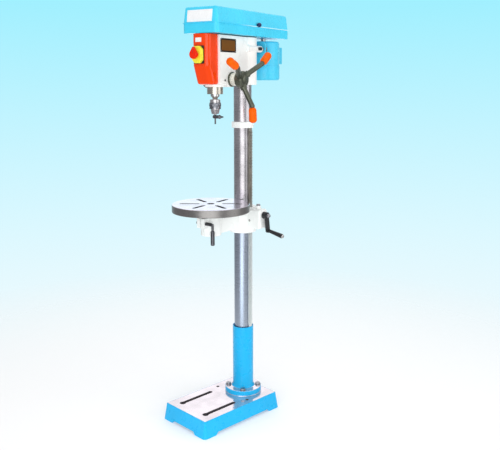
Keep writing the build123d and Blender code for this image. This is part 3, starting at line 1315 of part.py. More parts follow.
def make_spring_cap():
    """Round cap on the left side that holds the return spring."""
    x1 = -HEAD_HALF_W
    x0 = x1 - SPRING_CAP_T
    cap = cyl_x(SPRING_CAP_R, x0, x1, FEED_Y, FEED_Z)
    cap = fillet(cap.faces().sort_by(Axis.X)[0].edges(), SPRING_CAP_WALL)
    return cap - cyl_x(SPRING_CAP_R - SPRING_CAP_WALL, x0 + SPRING_CAP_WALL, x1, FEED_Y, FEED_Z)


def make_return_spring():
    """Flat spiral spring round the shaft's left end, drawn from an even spiral."""
    r0 = FEED_SHAFT_R + PASS_GAP
    r1 = SPRING_CAP_R - SPRING_CAP_WALL - PASS_GAP - SPRING_STRIP
    steps = int(SPRING_TURNS * SPRING_TURN_POINTS)
    inner = []
    outer = []
    for i in range(steps + 1):
        angle = 2 * pi * SPRING_TURNS * i / steps
        r = r0 + (r1 - r0) * i / steps
        inner.append((r * cos(angle), r * sin(angle)))
        outer.append(((r + SPRING_STRIP) * cos(angle), (r + SPRING_STRIP) * sin(angle)))
    x0 = -HEAD_HALF_W - SPRING_CAP_T / 2 - SPRING_W / 2
    outline = inner + outer[::-1]
    return prism([(x0, FEED_Y + u, FEED_Z + v) for u, v in outline], (1, 0, 0), SPRING_W)


def make_motor_body():
    """Upright motor: round body with a pad that bolts to the mount."""
    body = cyl(MOTOR_R, MOTOR_Z0, MOTOR_Z1, 0, MOTOR_Y)
    body = fillet(body.faces().sort_by(Axis.Z)[-1].edges(), MOTOR_EDGE_R)
    pad_y = MOUNT_Y + MOUNT_T
    z0 = MOTOR_Z0 + MOTOR_EDGE_R
    z1 = MOTOR_Z1 - 2 * MOTOR_EDGE_R
    body += block(-MOTOR_PAD_HALF, MOTOR_PAD_HALF, pad_y, MOTOR_Y, z0, z1)
    return body - cyl(MOTOR_SHAFT_R + SLIDE_GAP, MOTOR_Z0, MOTOR_Z1, 0, MOTOR_Y)


def make_fan_cover():
    """Thin cup under the motor over its fan, with vent slots in its floor."""
    top = MOTOR_Z0
    cup = cyl(FAN_R, FAN_Z0, top, 0, MOTOR_Y)
    cup = fillet(cup.faces().sort_by(Axis.Z)[0].edges(), FAN_EDGE_R)
    hollow = cyl(FAN_R - FAN_WALL, FAN_Z0 + FAN_WALL, top, 0, MOTOR_Y)
    cup -= fillet(hollow.faces().sort_by(Axis.Z)[0].edges(), FAN_EDGE_R - FAN_WALL)
    for k in range(FAN_VENTS):
        vent = Pos(FAN_VENT_L, 0, FAN_Z0) * SlotOverall(FAN_VENT_L, FAN_VENT_W)
        cup -= Pos(0, MOTOR_Y, 0) * Rot(0, 0, 360 * k / FAN_VENTS) * extrude(vent, FAN_WALL)
    return cup


def make_terminal_box():
    """Terminal box on the motor's back."""
    y1 = MOTOR_Y + MOTOR_R + BOX_OUT
    box = block(-BOX_HALF_W, BOX_HALF_W, MOTOR_Y, y1, BOX_Z0, BOX_Z1)
    box = fillet(box.faces().sort_by(Axis.Y)[-1].edges(), BOX_EDGE_R)
    box -= cyl(MOTOR_R, BOX_Z0, BOX_Z1, 0, MOTOR_Y)
    return box - cyl(GLAND_BORE_R, BOX_Z0, BOX_Z0 + BOX_EDGE_R, 0, gland_y())


def gland_y():
    """Cable entry under the terminal box."""
    return MOTOR_Y + MOTOR_R + BOX_OUT / 2


def make_gland():
    """Cable gland under the terminal box, with its bore open."""
    z0 = BOX_Z0 - GLAND_L
    gland = cyl(GLAND_R, z0, BOX_Z0, 0, gland_y())
    gland = fillet(gland.faces().sort_by(Axis.Z)[0].edges(), GLAND_R / 4)
    return gland - cyl(GLAND_BORE_R, z0, BOX_Z0, 0, gland_y())


def make_mount():
    """Motor mount plate that the slide bars carry."""
    plate = block(-MOUNT_HALF_W, MOUNT_HALF_W, MOUNT_Y, MOUNT_Y + MOUNT_T, MOUNT_Z0, MOUNT_Z1)
    plate = fillet(plate.edges().filter_by(Axis.Y), MOUNT_T)
    return plate - mirrored_pair(cyl_y(BAR_R, MOUNT_Y, MOUNT_Y + MOUNT_T, BAR_X, BAR_Z))


def make_bars():
    """Two slide bars from the mount into the head's side bosses."""
    bars = [cyl_y(BAR_R, -BAR_FRONT, MOUNT_Y + MOUNT_T, side * BAR_X, BAR_Z) for side in (-1, 1)]
    return group(bars)


def make_motor_shaft():
    """Motor shaft from the fan to the pulley."""
    return cyl(MOTOR_SHAFT_R, MOTOR_SHAFT_Z0, PULLEY_TOP, 0, MOTOR_Y)


def tension_screw(gap):
    """Threaded end of the belt-tension knob, in the right bar's boss."""
    x0 = BAR_X + BAR_R + SEAT_GAP
    return cyl_x(TENSION_SCREW_R + gap, x0 - gap, BAR_X + BAR_BOSS_R + 2 * SEAT_GAP, TENSION_KNOB_Y, BAR_Z)


def make_tension_knob():
    """Knob that locks the right slide bar."""
    x0 = BAR_X + BAR_BOSS_R + 2 * SEAT_GAP
    knob = cyl_x(TENSION_KNOB_R, x0, x0 + TENSION_KNOB_T, TENSION_KNOB_Y, BAR_Z)
    knob = fillet(knob.faces().sort_by(Axis.X)[-1].edges(), TENSION_KNOB_R / 3)
    return knob + tension_screw(0)


def make_plug():
    """Oil plug in the boss on top of the gear housing."""
    head = cyl(PLUG_HEAD_R, PLUG_Z, PLUG_Z + PLUG_HEAD_H, PLUG_X)
    head = fillet(head.faces().sort_by(Axis.Z)[-1].edges(), PLUG_HEAD_H / 3)
    return head + cyl(PLUG_R, PLUG_Z - PLUG_DEPTH, PLUG_Z, PLUG_X)


def make_speed_plate():
    """Bare dark plate on the casting's right side."""
    w = SPEED_PLATE_W / 2
    h = SPEED_PLATE_H / 2
    y = SPEED_PLATE_Y
    z = SPEED_PLATE_Z
    return block(HEAD_HALF_W, HEAD_HALF_W + SPEED_PLATE_T, y - w, y + w, z - h, z + h)


os.makedirs("parts", exist_ok=True)

# Base, foot, column and collar stand still
save("base_casting", make_base())
save("column_flange", make_flange())
save("flange_bolts", make_flange_bolts())
save("column_tube", make_column())
save("rack_collar", make_collar())
save("collar_screw", collar_screw_bar(0))

# The rack, bracket and table swing together
save("column_rack", make_column_rack(), TABLE_SWING)
save("table_bracket", make_bracket(), TABLE_SWING)
save("gear_axle", cyl_y(AXLE_R, -HOUSING_HALF_W, HOUSING_HALF_W, GEAR_X, GEAR_Z), TABLE_SWING)
save("housing_plug", make_plug(), TABLE_SWING)
save("elevating_gear", make_lift_gear(), TABLE_SWING)
save("crank_shaft", make_crank_shaft(), TABLE_SWING)
save("crank_arm", crank_at_rest(make_crank_arm()), TABLE_SWING)
save("crank_handle", crank_at_rest(make_crank_handle()), TABLE_SWING)
save("bracket_lock_lever", make_lock_lever(bracket_lock_y(), -1), TABLE_SWING)
save("work_table", make_table(), TABLE_SWING)
save("table_lock_lever", make_lock_lever(CLAMP_Y, 1), TABLE_SWING)

# The head and all it carries
save("head_casting", make_head(), HEAD_SWING)
save("head_set_screws", make_head_screws(), HEAD_SWING)
save("front_cover", make_front_cover(), HEAD_SWING)
save("front_cover_screws", make_front_screws(), HEAD_SWING)
save("switch_body", make_switch_body(), HEAD_SWING)
save("switch_plate", make_switch_plate(), HEAD_SWING)
save("switch_knob", make_switch_knob(), HEAD_SWING)
save("speed_plate", make_speed_plate(), HEAD_SWING)
save("belt_pan", make_belt_pan(), HEAD_SWING)
save("belt_lid", make_belt_lid(), HEAD_SWING)
save("lid_knob", make_lid_knob(), HEAD_SWING)
save("lid_hinge_pins", make_hinge_pins(), HEAD_SWING)
save("spindle_pulley", step_pulley(SPINDLE_STEPS, SLEEVE_DRIVE_R, -REACH), HEAD_SWING)
save("drive_sleeve", make_drive_sleeve(), HEAD_SWING)
save("sleeve_bearings", make_sleeve_bearings(), HEAD_SWING)
save("drive_belt", make_belt(), HEAD_SWING)
save("quill", make_quill(), HEAD_SWING)
save("quill_bearings", make_quill_bearings(), HEAD_SWING)
save("spindle", make_spindle(), HEAD_SWING)
save("chuck_arbor", make_arbor(), HEAD_SWING)
save("chuck_body", make_chuck_body(), HEAD_SWING)
save("chuck_sleeve", make_chuck_sleeve(), HEAD_SWING)
for jaw in range(JAWS):
    save("chuck_jaw_" + str(jaw + 1), make_jaw(jaw), HEAD_SWING)
save("chuck_key", make_chuck_key(), HEAD_SWING)
save("feed_shaft", make_feed_shaft(), HEAD_SWING)
save("feed_flange", make_feed_flange(), HEAD_SWING)
save("depth_dial", ring_x(DIAL_R, FEED_SHAFT_R + SLIDE_GAP, DIAL_X, DIAL_X + DIAL_T), HEAD_SWING)
save("feed_hub", make_feed_hub(), HEAD_SWING)
save("feed_arms", make_feed_arms(), HEAD_SWING)
save("feed_grips", group([feed_grip(k) for k in range(FEED_ARMS)]), HEAD_SWING)
save("spring_cap", make_spring_cap(), HEAD_SWING)
save("return_spring", make_return_spring(), HEAD_SWING)
save("motor_body", make_motor_body(), HEAD_SWING)
save("motor_fan_cover", make_fan_cover(), HEAD_SWING)
save("terminal_box", make_terminal_box(), HEAD_SWING)
save("cable_gland", make_gland(), HEAD_SWING)
save("motor_mount", make_mount(), HEAD_SWING)
save("slide_bars", make_bars(), HEAD_SWING)
save("motor_shaft", make_motor_shaft(), HEAD_SWING)
save("motor_pulley", step_pulley(motor_steps(), MOTOR_SHAFT_R, MOTOR_Y), HEAD_SWING)
save("tension_knob", make_tension_knob(), HEAD_SWING)
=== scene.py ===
import math
import bpy
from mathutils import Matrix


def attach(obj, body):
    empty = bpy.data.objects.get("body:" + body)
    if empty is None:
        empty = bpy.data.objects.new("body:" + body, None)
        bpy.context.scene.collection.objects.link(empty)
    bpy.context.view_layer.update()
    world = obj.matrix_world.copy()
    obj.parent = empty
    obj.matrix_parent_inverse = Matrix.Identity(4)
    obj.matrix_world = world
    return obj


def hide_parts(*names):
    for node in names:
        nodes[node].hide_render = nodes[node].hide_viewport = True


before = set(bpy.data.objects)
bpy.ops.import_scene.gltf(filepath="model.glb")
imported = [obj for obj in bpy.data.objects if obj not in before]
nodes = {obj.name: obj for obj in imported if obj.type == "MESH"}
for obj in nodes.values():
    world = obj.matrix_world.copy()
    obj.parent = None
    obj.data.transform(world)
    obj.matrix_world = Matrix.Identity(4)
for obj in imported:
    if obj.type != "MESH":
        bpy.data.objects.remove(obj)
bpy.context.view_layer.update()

# Base: a ribbed iron casting painted sky blue, its top ground bright inside a painted border.
# It stands on four feet, and the column foot is bolted to its back half.
mm = 0.001
BASE_TOP = 69.5 * mm
GROUND_HALF_W = 120.5 * mm
GROUND_FRONT = -258.5 * mm
GROUND_REAR = 141.5 * mm
SLOT_REGION = 106 * mm
SKY_BLUE = (0.003, 0.42, 0.78)
GROUND_IRON = (0.74, 0.69, 0.72)
SLOT_IRON_AND_SHADE = (0.075, 0.062, 0.066)
CASTING_LUMPS = 0.25 * mm
PAINT_EDGE = 0.5 * mm
EDGE_GRAIN = 5 * mm
SHARP_BELOW = 0.86
FLAT_ABOVE = 0.985
WHOLE_BELOW = 0.46
WORN_ABOVE = 0.6
PAINT_CLOUD = 90 * mm
PAINT_CLOUDED = 0.93
PAINT_WEAR = 1.0 * mm
PAINT_WORN = 0.7
PAINT_PATCH = 30 * mm
LUMP_SIZE = 11 * mm
PEEL_SIZE = 1.8 * mm
PEEL_DEPTH = 0.012 * mm
STROKE_SIZE = 1.6 * mm
STROKE_DEPTH = 0.004 * mm
IRON_STAIN = 70 * mm
IRON_STAINED = 0.82
BARE_METAL = 0.8


def shader_of(made):
    """A material's main shader."""
    return made.node_tree.nodes["Principled BSDF"]


def finish(name, colour, rough, metal=0.0):
    """New material with its shader's plain values set."""
    made = bpy.data.materials.new(name)
    made.use_nodes = True
    shader = shader_of(made)
    shader.inputs["Base Color"].default_value = (*colour, 1.0)
    shader.inputs["Roughness"].default_value = rough
    shader.inputs["Metallic"].default_value = metal
    return made, made.node_tree, shader


def coordinates(tree, centre=(0, 0, 0), stretch=(1, 1, 1), turn=0.0):
    """The piece's own coordinates, measured from a centre, turned about Z and stretched."""
    own = tree.nodes.new("ShaderNodeTexCoord")
    vector = own.outputs["Object"]
    steps = (("Location", [-c for c in centre]), ("Rotation", (0, 0, -turn)), ("Scale", stretch))
    for kind, value in steps:
        mapped = tree.nodes.new("ShaderNodeMapping")
        mapped.inputs[kind].default_value = value
        tree.links.new(vector, mapped.inputs["Vector"])
        vector = mapped.outputs["Vector"]
    return vector


def axes(tree, **where):
    """The piece's own X, Y and Z as separate values."""
    split = tree.nodes.new("ShaderNodeSeparateXYZ")
    tree.links.new(coordinates(tree, **where), split.inputs["Vector"])
    return split.outputs


def grain(tree, size, detail=3.0, **where):
    """Noise over the piece whose features are about size metres across."""
    noise = tree.nodes.new("ShaderNodeTexNoise")
    noise.inputs["Scale"].default_value = 1 / size
    noise.inputs["Detail"].default_value = detail
    tree.links.new(coordinates(tree, **where), noise.inputs["Vector"])
    return noise.outputs["Fac"]


def spread(tree, value, low, high, start=0.35, stop=0.65):
    """Map a grain, or any value between start and stop, onto a range."""
    ranged = tree.nodes.new("ShaderNodeMapRange")
    ranged.inputs["From Min"].default_value = start
    ranged.inputs["From Max"].default_value = stop
    ranged.inputs["To Min"].default_value = low
    ranged.inputs["To Max"].default_value = high
    tree.links.new(value, ranged.inputs["Value"])
    return ranged.outputs["Result"]


def sums(tree, kind, first, second):
    """One step of arithmetic on sockets or plain numbers."""
    step = tree.nodes.new("ShaderNodeMath")
    step.operation = kind
    for socket, value in zip(step.inputs, (first, second)):
        if hasattr(value, "links"):
            tree.links.new(value, socket)
        else:
            socket.default_value = value
    return step.outputs["Value"]


def tint(tree, amount, first, second):
    """Colour between two others, by an amount from 0 to 1."""
    mix = tree.nodes.new("ShaderNodeMix")
    mix.data_type = "RGBA"
    tree.links.new(amount, mix.inputs[0])
    for socket, colour in zip((mix.inputs[6], mix.inputs[7]), (first, second)):
        if hasattr(colour, "links"):
            tree.links.new(colour, socket)
        else:
            socket.default_value = (*colour, 1.0)
    return mix.outputs[2]


def relief(tree, shader, height, depth):
    """Bump of that depth in metres, on top of any bump that is there."""
    bump = tree.nodes.new("ShaderNodeBump")
    bump.inputs["Distance"].default_value = depth
    bump.inputs["Strength"].default_value = 1.0
    if shader.inputs["Normal"].is_linked:
        tree.links.new(shader.inputs["Normal"].links[0].from_socket, bump.inputs["Normal"])
    tree.links.new(height, bump.inputs["Height"])
    tree.links.new(bump.outputs["Normal"], shader.inputs["Normal"])


def edges(tree, reach):
    """1 along sharp edges and 0 on open faces, broken up by a fine grain."""
    rounded = tree.nodes.new("ShaderNodeBevel")
    rounded.samples = 4
    rounded.inputs["Radius"].default_value = reach
    plain = tree.nodes.new("ShaderNodeNewGeometry")
    facing = tree.nodes.new("ShaderNodeVectorMath")
    facing.operation = "DOT_PRODUCT"
    tree.links.new(rounded.outputs["Normal"], facing.inputs[0])
    tree.links.new(plain.outputs["Normal"], facing.inputs[1])
    sharp = spread(tree, facing.outputs["Value"], 1, 0, SHARP_BELOW, FLAT_ABOVE)
    rubbed_and_highlit = spread(tree, grain(tree, EDGE_GRAIN), 0, 1, WHOLE_BELOW, WORN_ABOVE)
    return sums(tree, "MULTIPLY", sharp, rubbed_and_highlit)


def shaded(colour, share):
    """A colour made darker or lighter by a share."""
    return tuple(min(1.0, share * c) for c in colour)


def clouded(tree, cloud, colour, share):
    """A colour that goes darker by a share where a grain is low."""
    return tint(tree, spread(tree, cloud, 0, 1), shaded(colour, share), colour)


def uneven(tree, shader, rough, size):
    """Vary the roughness in patches of about that size."""
    patches = spread(tree, grain(tree, size), rough - 0.06, rough + 0.08)
    tree.links.new(patches, shader.inputs["Roughness"])


def painted(name, colour, lumps, rough=0.3, shine=0.3, coat=0.1, coat_rough=0.1):
    """Gloss paint: faint clouding, orange peel, the casting's lumps under it, thin worn edges."""
    made, tree, shader = finish(name, colour, rough)
    body = clouded(tree, grain(tree, PAINT_CLOUD), colour, PAINT_CLOUDED)
    body = tint(tree, edges(tree, PAINT_WEAR), body, shaded(colour, PAINT_WORN))
    tree.links.new(body, shader.inputs["Base Color"])
    uneven(tree, shader, rough, PAINT_PATCH)
    relief(tree, shader, grain(tree, LUMP_SIZE), lumps)
    relief(tree, shader, grain(tree, PEEL_SIZE, detail=1.0), PEEL_DEPTH)
    shader.inputs["Specular IOR Level"].default_value = shine
    shader.inputs["Coat Weight"].default_value = coat
    shader.inputs["Coat Roughness"].default_value = coat_rough
    return made


def recolour(made, where, colour):
    """Bring a finish to another colour where a value is 1."""
    tree = made.node_tree
    shader = shader_of(made)
    plain = shader.inputs["Base Color"].links[0].from_socket
    tree.links.new(tint(tree, where, plain, colour), shader.inputs["Base Color"])


def dress(made, *names):
    """Give CAD nodes a finish."""
    for name in names:
        nodes[name].data.materials.clear()
        nodes[name].data.materials.append(made)


def inside(tree, value, low, high, soft):
    """1 where a value lies between two limits, with a soft edge."""
    above = spread(tree, value, 0, 1, low - soft, low + soft)
    below = spread(tree, value, 1, 0, high - soft, high + soft)
    return sums(tree, "MULTIPLY", above, below)


def bare_face(made, where_bare):
    """Take the paint off where a value is 1 and show ground iron with the wheel's strokes."""
    tree = made.node_tree
    shader = shader_of(made)
    strokes = grain(tree, STROKE_SIZE, detail=2.0, stretch=(1, 0.04, 1))
    iron = clouded(tree, grain(tree, IRON_STAIN, detail=4.0), GROUND_IRON, IRON_STAINED)
    recolour(made, where_bare, iron)
    tree.links.new(sums(tree, "MULTIPLY", where_bare, BARE_METAL), shader.inputs["Metallic"])
    dull = shader.inputs["Roughness"].links[0].from_socket
    on_iron = sums(tree, "MULTIPLY", spread(tree, strokes, 0.08, 0.18), where_bare)
    on_paint = sums(tree, "MULTIPLY", dull, sums(tree, "SUBTRACT", 1.0, where_bare))
    tree.links.new(sums(tree, "ADD", on_iron, on_paint), shader.inputs["Roughness"])
    relief(tree, shader, sums(tree, "MULTIPLY", strokes, where_bare), STROKE_DEPTH)


base_finish = painted("sky_paint_ground_top", SKY_BLUE, CASTING_LUMPS)
tree = base_finish.node_tree
own = axes(tree)
across = inside(tree, own["X"], -GROUND_HALF_W, GROUND_HALF_W, PAINT_EDGE)
along = inside(tree, own["Y"], GROUND_FRONT, GROUND_REAR, PAINT_EDGE)
middle = sums(tree, "MULTIPLY", across, along)
cored = inside(tree, own["X"], -SLOT_REGION, SLOT_REGION, PAINT_EDGE)
raised = spread(tree, own["Z"], 0, 1, BASE_TOP - 1 * mm, BASE_TOP - 0.4 * mm)
# Inside the slots and below the ground top the iron is painted dark: raw iron, and painted shade in the
# slots.
recolour(base_finish, sums(tree, "MULTIPLY", middle, cored), SLOT_IRON_AND_SHADE)
bare_face(base_finish, sums(tree, "MULTIPLY", middle, raised))
dress(base_finish, "base_casting")

# Column foot: a round flange and a long sleeve cast in one, in the same sky blue paint.
# The flange's top is faced bright for its four bolts, and the column stands in the sleeve.
FLANGE_TOP = 90.5 * mm
FACED_BAND = 0.6 * mm
foot_finish = painted("sky_paint_faced_flange", SKY_BLUE, CASTING_LUMPS)
tree = foot_finish.node_tree
height = axes(tree)["Z"]
faced = inside(tree, height, FLANGE_TOP - FACED_BAND, FLANGE_TOP + FACED_BAND, FACED_BAND / 3)
bare_face(foot_finish, faced)
dress(foot_finish, "column_flange")

# Foot bolts: four zinc-plated hexagon bolts on washers, screwed down into the base.
# Each head is forged with a chamfered crown and a shallow dish on top.
COLUMN_Y = 66 * mm
BOLT_REACH = 45 * mm
BOLT_ACROSS = 19 * mm
BOLT_HEAD_H = 8 * mm
WASHER_R = 13 * mm
WASHER_T = 2 * mm
ZINC = (0.34, 0.34, 0.36)
STEEL_STAIN = 45 * mm
STEEL_STAINED = 0.78
STEEL_WEAR = 0.6 * mm
STEEL_WORN = 1.25
UP = (0, 0, 1)
LOOKS_THAT_WAY = 0.9
SMOOTH_BELOW = math.radians(35)
CROWN_CHAMFER = 0.09
CROWN_RISE = 0.04
DISH_RIM = 0.16
DISH_DEPTH = 0.03


def clear_choice():
    """Leave object mode's selection empty."""
    bpy.ops.object.select_all(action="DESELECT")


def pick(piece):
    """Make a piece the only one selected."""
    clear_choice()
    piece.select_set(True)
    bpy.context.view_layer.objects.active = piece


def keep_place():
    """Put the selected piece's place, turn and size into its mesh."""
    bpy.ops.object.transform_apply(location=True, rotation=True, scale=True)


def drum(name, radius, depth, at, sides, turn=(0, 0, 0)):
    """Start a round or many-sided piece."""
    clear_choice()
    bpy.ops.mesh.primitive_cylinder_add(
        vertices=sides, radius=radius, depth=depth, location=at, rotation=turn
    )
    piece = bpy.context.object
    piece.name = name
    keep_place()
    return piece


def choose(piece, way):
    """Go into edit mode with the faces that look one way selected."""
    pick(piece)
    bpy.ops.object.mode_set(mode="EDIT")
    bpy.ops.mesh.select_mode(type="FACE")
    bpy.ops.mesh.select_all(action="DESELECT")
    bpy.ops.object.mode_set(mode="OBJECT")
    for face in piece.data.polygons:
        face.select = face.normal.dot(way) > LOOKS_THAT_WAY
    bpy.ops.object.mode_set(mode="EDIT")


def done():
    """Leave edit mode."""
    bpy.ops.object.mode_set(mode="OBJECT")


def soften(piece, width, segments=3, angle=30):
    """Round a piece's sharp edges and shade it smooth."""
    bevel = piece.modifiers.new("soften", "BEVEL")
    bevel.width = width
    bevel.segments = segments
    bevel.limit_method = "ANGLE"
    bevel.angle_limit = math.radians(angle)
    pick(piece)
    bpy.ops.object.modifier_apply(modifier=bevel.name)
    bpy.ops.object.shade_smooth_by_angle(angle=SMOOTH_BELOW)


def merge(name, pieces):
    """Join finished solids of one kind into one piece."""
    clear_choice()
    for piece in pieces:
        piece.select_set(True)
    bpy.context.view_layer.objects.active = pieces[0]
    bpy.ops.object.join()
    bpy.context.object.name = name
    return bpy.context.object


def fit(piece, made, body, slot, *replaced):
    """Finish a piece: its material, the body it rides on and what it stands for. The slot argument is not
    used.
    """
    piece.data.materials.clear()
    piece.data.materials.append(made)
    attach(piece, body)
    if replaced:
        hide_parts(*replaced)


def steel(name, colour, rough, size=1.5 * mm, depth=0.01 * mm, metal=1.0, **where):
    """Worked metal: tool lines in its roughness and bump, and a faint uneven stain."""
    made, tree, shader = finish(name, colour, rough, metal)
    lines = grain(tree, size, detail=2.0, **where)
    body = clouded(tree, grain(tree, STEEL_STAIN, detail=4.0), colour, STEEL_STAINED)
    body = tint(tree, edges(tree, STEEL_WEAR), body, shaded(colour, STEEL_WORN))
    tree.links.new(body, shader.inputs["Base Color"])
    tree.links.new(spread(tree, lines, rough - 0.07, rough + 0.1), shader.inputs["Roughness"])
    relief(tree, shader, lines, depth)
    return made


def bolt_head(at, across, height, washer_r, washer_t):
    """Hexagon head on a washer, standing up from a point."""
    x, y, z = at
    washer = drum("washer", washer_r, washer_t, (x, y, z + washer_t / 2), sides=40)
    soften(washer, 0.5 * mm, segments=2)
    middle = (x, y, z + (height + washer_t) / 2)
    head = drum("head", across / math.sqrt(3), height - washer_t, middle, sides=6)
    choose(head, UP)
    bpy.ops.mesh.inset(thickness=across * CROWN_CHAMFER, depth=across * CROWN_RISE)
    bpy.ops.mesh.inset(thickness=across * DISH_RIM, depth=-across * DISH_DEPTH)
    done()
    soften(head, 0.5 * mm, segments=2, angle=20)
    return merge("bolt", [washer, head])


zinc = steel("zinc_plate", ZINC, rough=0.34, size=3 * mm)
bolts = []
for side in (-1, 1):
    for end in (-1, 1):
        place = (side * BOLT_REACH, COLUMN_Y + end * BOLT_REACH, FLANGE_TOP)
        bolts.append(bolt_head(place, BOLT_ACROSS, BOLT_HEAD_H, WASHER_R, WASHER_T))
fit(merge("foot_bolt_heads", bolts), zinc, "frame", "bolt_steel", "flange_bolts")

# Column: a thick steel tube, ground all round and oiled, standing in the foot.
# Grinding leaves fine lines round it, and the lower half is painted bluish, a painted reflection.
COLUMN_STEEL = (0.50, 0.48, 0.50)
REFLECTION_BLUE_STEEL = (0.38, 0.43, 0.51)
GRIND_SIZE = 0.6 * mm
GRIND_DEPTH = 0.0003 * mm
REFLECTION_FULL_BELOW = 780 * mm
REFLECTION_ENDS_ABOVE = 930 * mm


def painted_reflection_below(made, colour):
    """Paint a steel's lower half, below the table bracket, in another colour, a painted reflection."""
    tree = made.node_tree
    recolour(made, spread(tree, axes(tree)["Z"], 1, 0, REFLECTION_FULL_BELOW, REFLECTION_ENDS_ABOVE), colour)


column_steel = steel(
    "ground_column", COLUMN_STEEL, rough=0.3, size=GRIND_SIZE, depth=GRIND_DEPTH, stretch=(0.03, 0.03, 1)
)
# Painted reflection: the column's lower half is painted bluish.
painted_reflection_below(column_steel, REFLECTION_BLUE_STEEL)
dress(column_steel, "column_tube")

# Rack: a cut steel strip beside the column that the table climbs on.
# It is held at its ends, under the collar and in the foot, and swings round with the table.
# Its upper half is browned by old oil, and the lower half is painted pale, a painted reflection.
OILED_STEEL = (0.50, 0.47, 0.41)
REFLECTION_PALE_STEEL = (0.84, 0.88, 0.87)
rack_steel = steel(
    "rack_steel", OILED_STEEL, rough=0.32, size=2.5 * mm, depth=0.02 * mm, stretch=(1, 1, 0.1)
)
# Painted reflection: the rack's lower half is painted pale.
painted_reflection_below(rack_steel, REFLECTION_PALE_STEEL)
dress(rack_steel, "column_rack")

# Rack collar: a cast ring in white paint, clamped on the column by one screw.
# Its lower edge keeps the rack's upper tongue and lets the rack swing round.
WHITE = (0.92, 0.94, 0.92)
WHITE_LUMPS = 0.3 * mm
white_paint = painted("white_paint", WHITE, WHITE_LUMPS, rough=0.32)
dress(white_paint, "rack_collar")
dress(zinc, "collar_screw")

# Table bracket: a white iron casting with a split collar, an arm, a split boss and a gear housing.
# A gear in the housing climbs the rack, driven by the crank's worm; an oil plug closes its top.
GEAR_STEEL = (0.40, 0.39, 0.38)
dress(white_paint, "table_bracket")
gear_steel = steel("cut_gear_steel", GEAR_STEEL, rough=0.35, size=2 * mm, depth=0.02 * mm)
dress(gear_steel, "elevating_gear", "gear_axle", "crank_shaft")
dress(zinc, "housing_plug")

# Crank: a blackened arm on the worm shaft, held by a domed nut.
# Its handle is black plastic on a riveted pin with a bright cap.
TABLE_SWING = math.radians(5.5)
CRANK_X = 132.3 * mm
CRANK_Z = 858 * mm
CRANK_DROP = 64 * mm
CRANK_REST = math.radians(8)
HANDLE_L = 70 * mm
HANDLE_LEAN = math.radians(12)
NUT_ACROSS = 17 * mm
NUT_T = 6 * mm
NUT_DOME_R = NUT_ACROSS * 0.44
NUT_DOME_T = NUT_T * 1.2
CAP_R = 7.5 * mm
CAP_T = 6 * mm
ACROSS_X = (0, math.pi / 2, 0)
RIGHT = (1, 0, 0)
BLACK_IRON = (0.045, 0.047, 0.05)
BLACK_PLASTIC = (0.012, 0.012, 0.014)
BRIGHT_STEEL = (0.62, 0.61, 0.60)
PLASTIC_CLOUD = 18 * mm
PLASTIC_WEAR = 0.8 * mm
PLASTIC_WORN = 1.2
PLASTIC_PATCH = 8 * mm
DOME_FOOT = 0.3
DOME_CLOSED = 0.92
DOME_SMOOTH_BELOW = math.radians(40)


def plastic(name, colour, rough, size=0.9 * mm, depth=0.02 * mm, cloud=0.88, shine=0.5):
    """Moulded plastic: fine spark grain, slight clouding and rubbed edges."""
    made, tree, shader = finish(name, colour, rough)
    body = clouded(tree, grain(tree, PLASTIC_CLOUD), colour, cloud)
    body = tint(tree, edges(tree, PLASTIC_WEAR), body, shaded(colour, PLASTIC_WORN))
    tree.links.new(body, shader.inputs["Base Color"])
    uneven(tree, shader, rough, PLASTIC_PATCH)
    relief(tree, shader, grain(tree, size, detail=1.0), depth)
    shader.inputs["Specular IOR Level"].default_value = shine
    return made


def settle(piece, at, turn=(0, 0, 0)):
    """Turn a piece about the origin and move it, with both kept in its mesh."""
    pick(piece)
    piece.rotation_euler = turn
    piece.location = at
    keep_place()


def swing(piece, angle):
    """Turn a piece about the column, from a place measured from the column's axis."""
    settle(piece, (0, COLUMN_Y, 0), (0, 0, angle))


def draw_out(inset, by):
    """Narrow the chosen faces, or widen them with a minus, and move them."""
    bpy.ops.mesh.inset(thickness=inset, depth=0)
    bpy.ops.transform.translate(value=by)


def dome(name, radius, height, at, rings=5):
    """Domed cap along X, from a point: a disc drawn out in narrowing steps."""
    x, y, z = at
    foot = height * DOME_FOOT
    piece = drum(name, radius, foot, (x + foot / 2, y, z), sides=48, turn=ACROSS_X)
    choose(piece, RIGHT)
    for step in range(rings):
        start = math.pi / 2 * step / rings
        stop = math.pi / 2 * (step + 1) / rings
        shrink = radius * DOME_CLOSED * (math.cos(start) - math.cos(stop))
        rise = (height - foot) * (math.sin(stop) - math.sin(start))
        draw_out(shrink, by=(rise, 0, 0))
    done()
    bpy.ops.object.shade_smooth_by_angle(angle=DOME_SMOOTH_BELOW)
    return piece


black_iron = steel("blackened_iron", BLACK_IRON, rough=0.42, size=3 * mm, depth=0.05 * mm, metal=0.6)
black_plastic = plastic("black_plastic", BLACK_PLASTIC, rough=0.38)
bright_steel = steel("bright_steel", BRIGHT_STEEL, rough=0.24)
dress(black_iron, "crank_arm")
dress(black_plastic, "crank_handle")
place = (CRANK_X + NUT_T / 2, 0, CRANK_Z)
nut = drum("nut", NUT_ACROSS / math.sqrt(3), NUT_T, place, sides=6, turn=ACROSS_X)
soften(nut, 0.7 * mm, segments=2, angle=20)
crown = dome("crown", NUT_DOME_R, NUT_DOME_T, (CRANK_X + NUT_T, 0, CRANK_Z))
crank_nut = merge("crank_nut", [nut, crown])
swing(crank_nut, TABLE_SWING)
fit(crank_nut, zinc, "crank", "bolt_steel")
tip = dome("handle_cap", CAP_R, CAP_T, (HANDLE_L, 0, 0))
settle(tip, (CRANK_X, 0, -CRANK_DROP), (0, HANDLE_LEAN, 0))
settle(tip, (0, 0, CRANK_Z), (CRANK_REST, 0, 0))
swing(tip, TABLE_SWING)
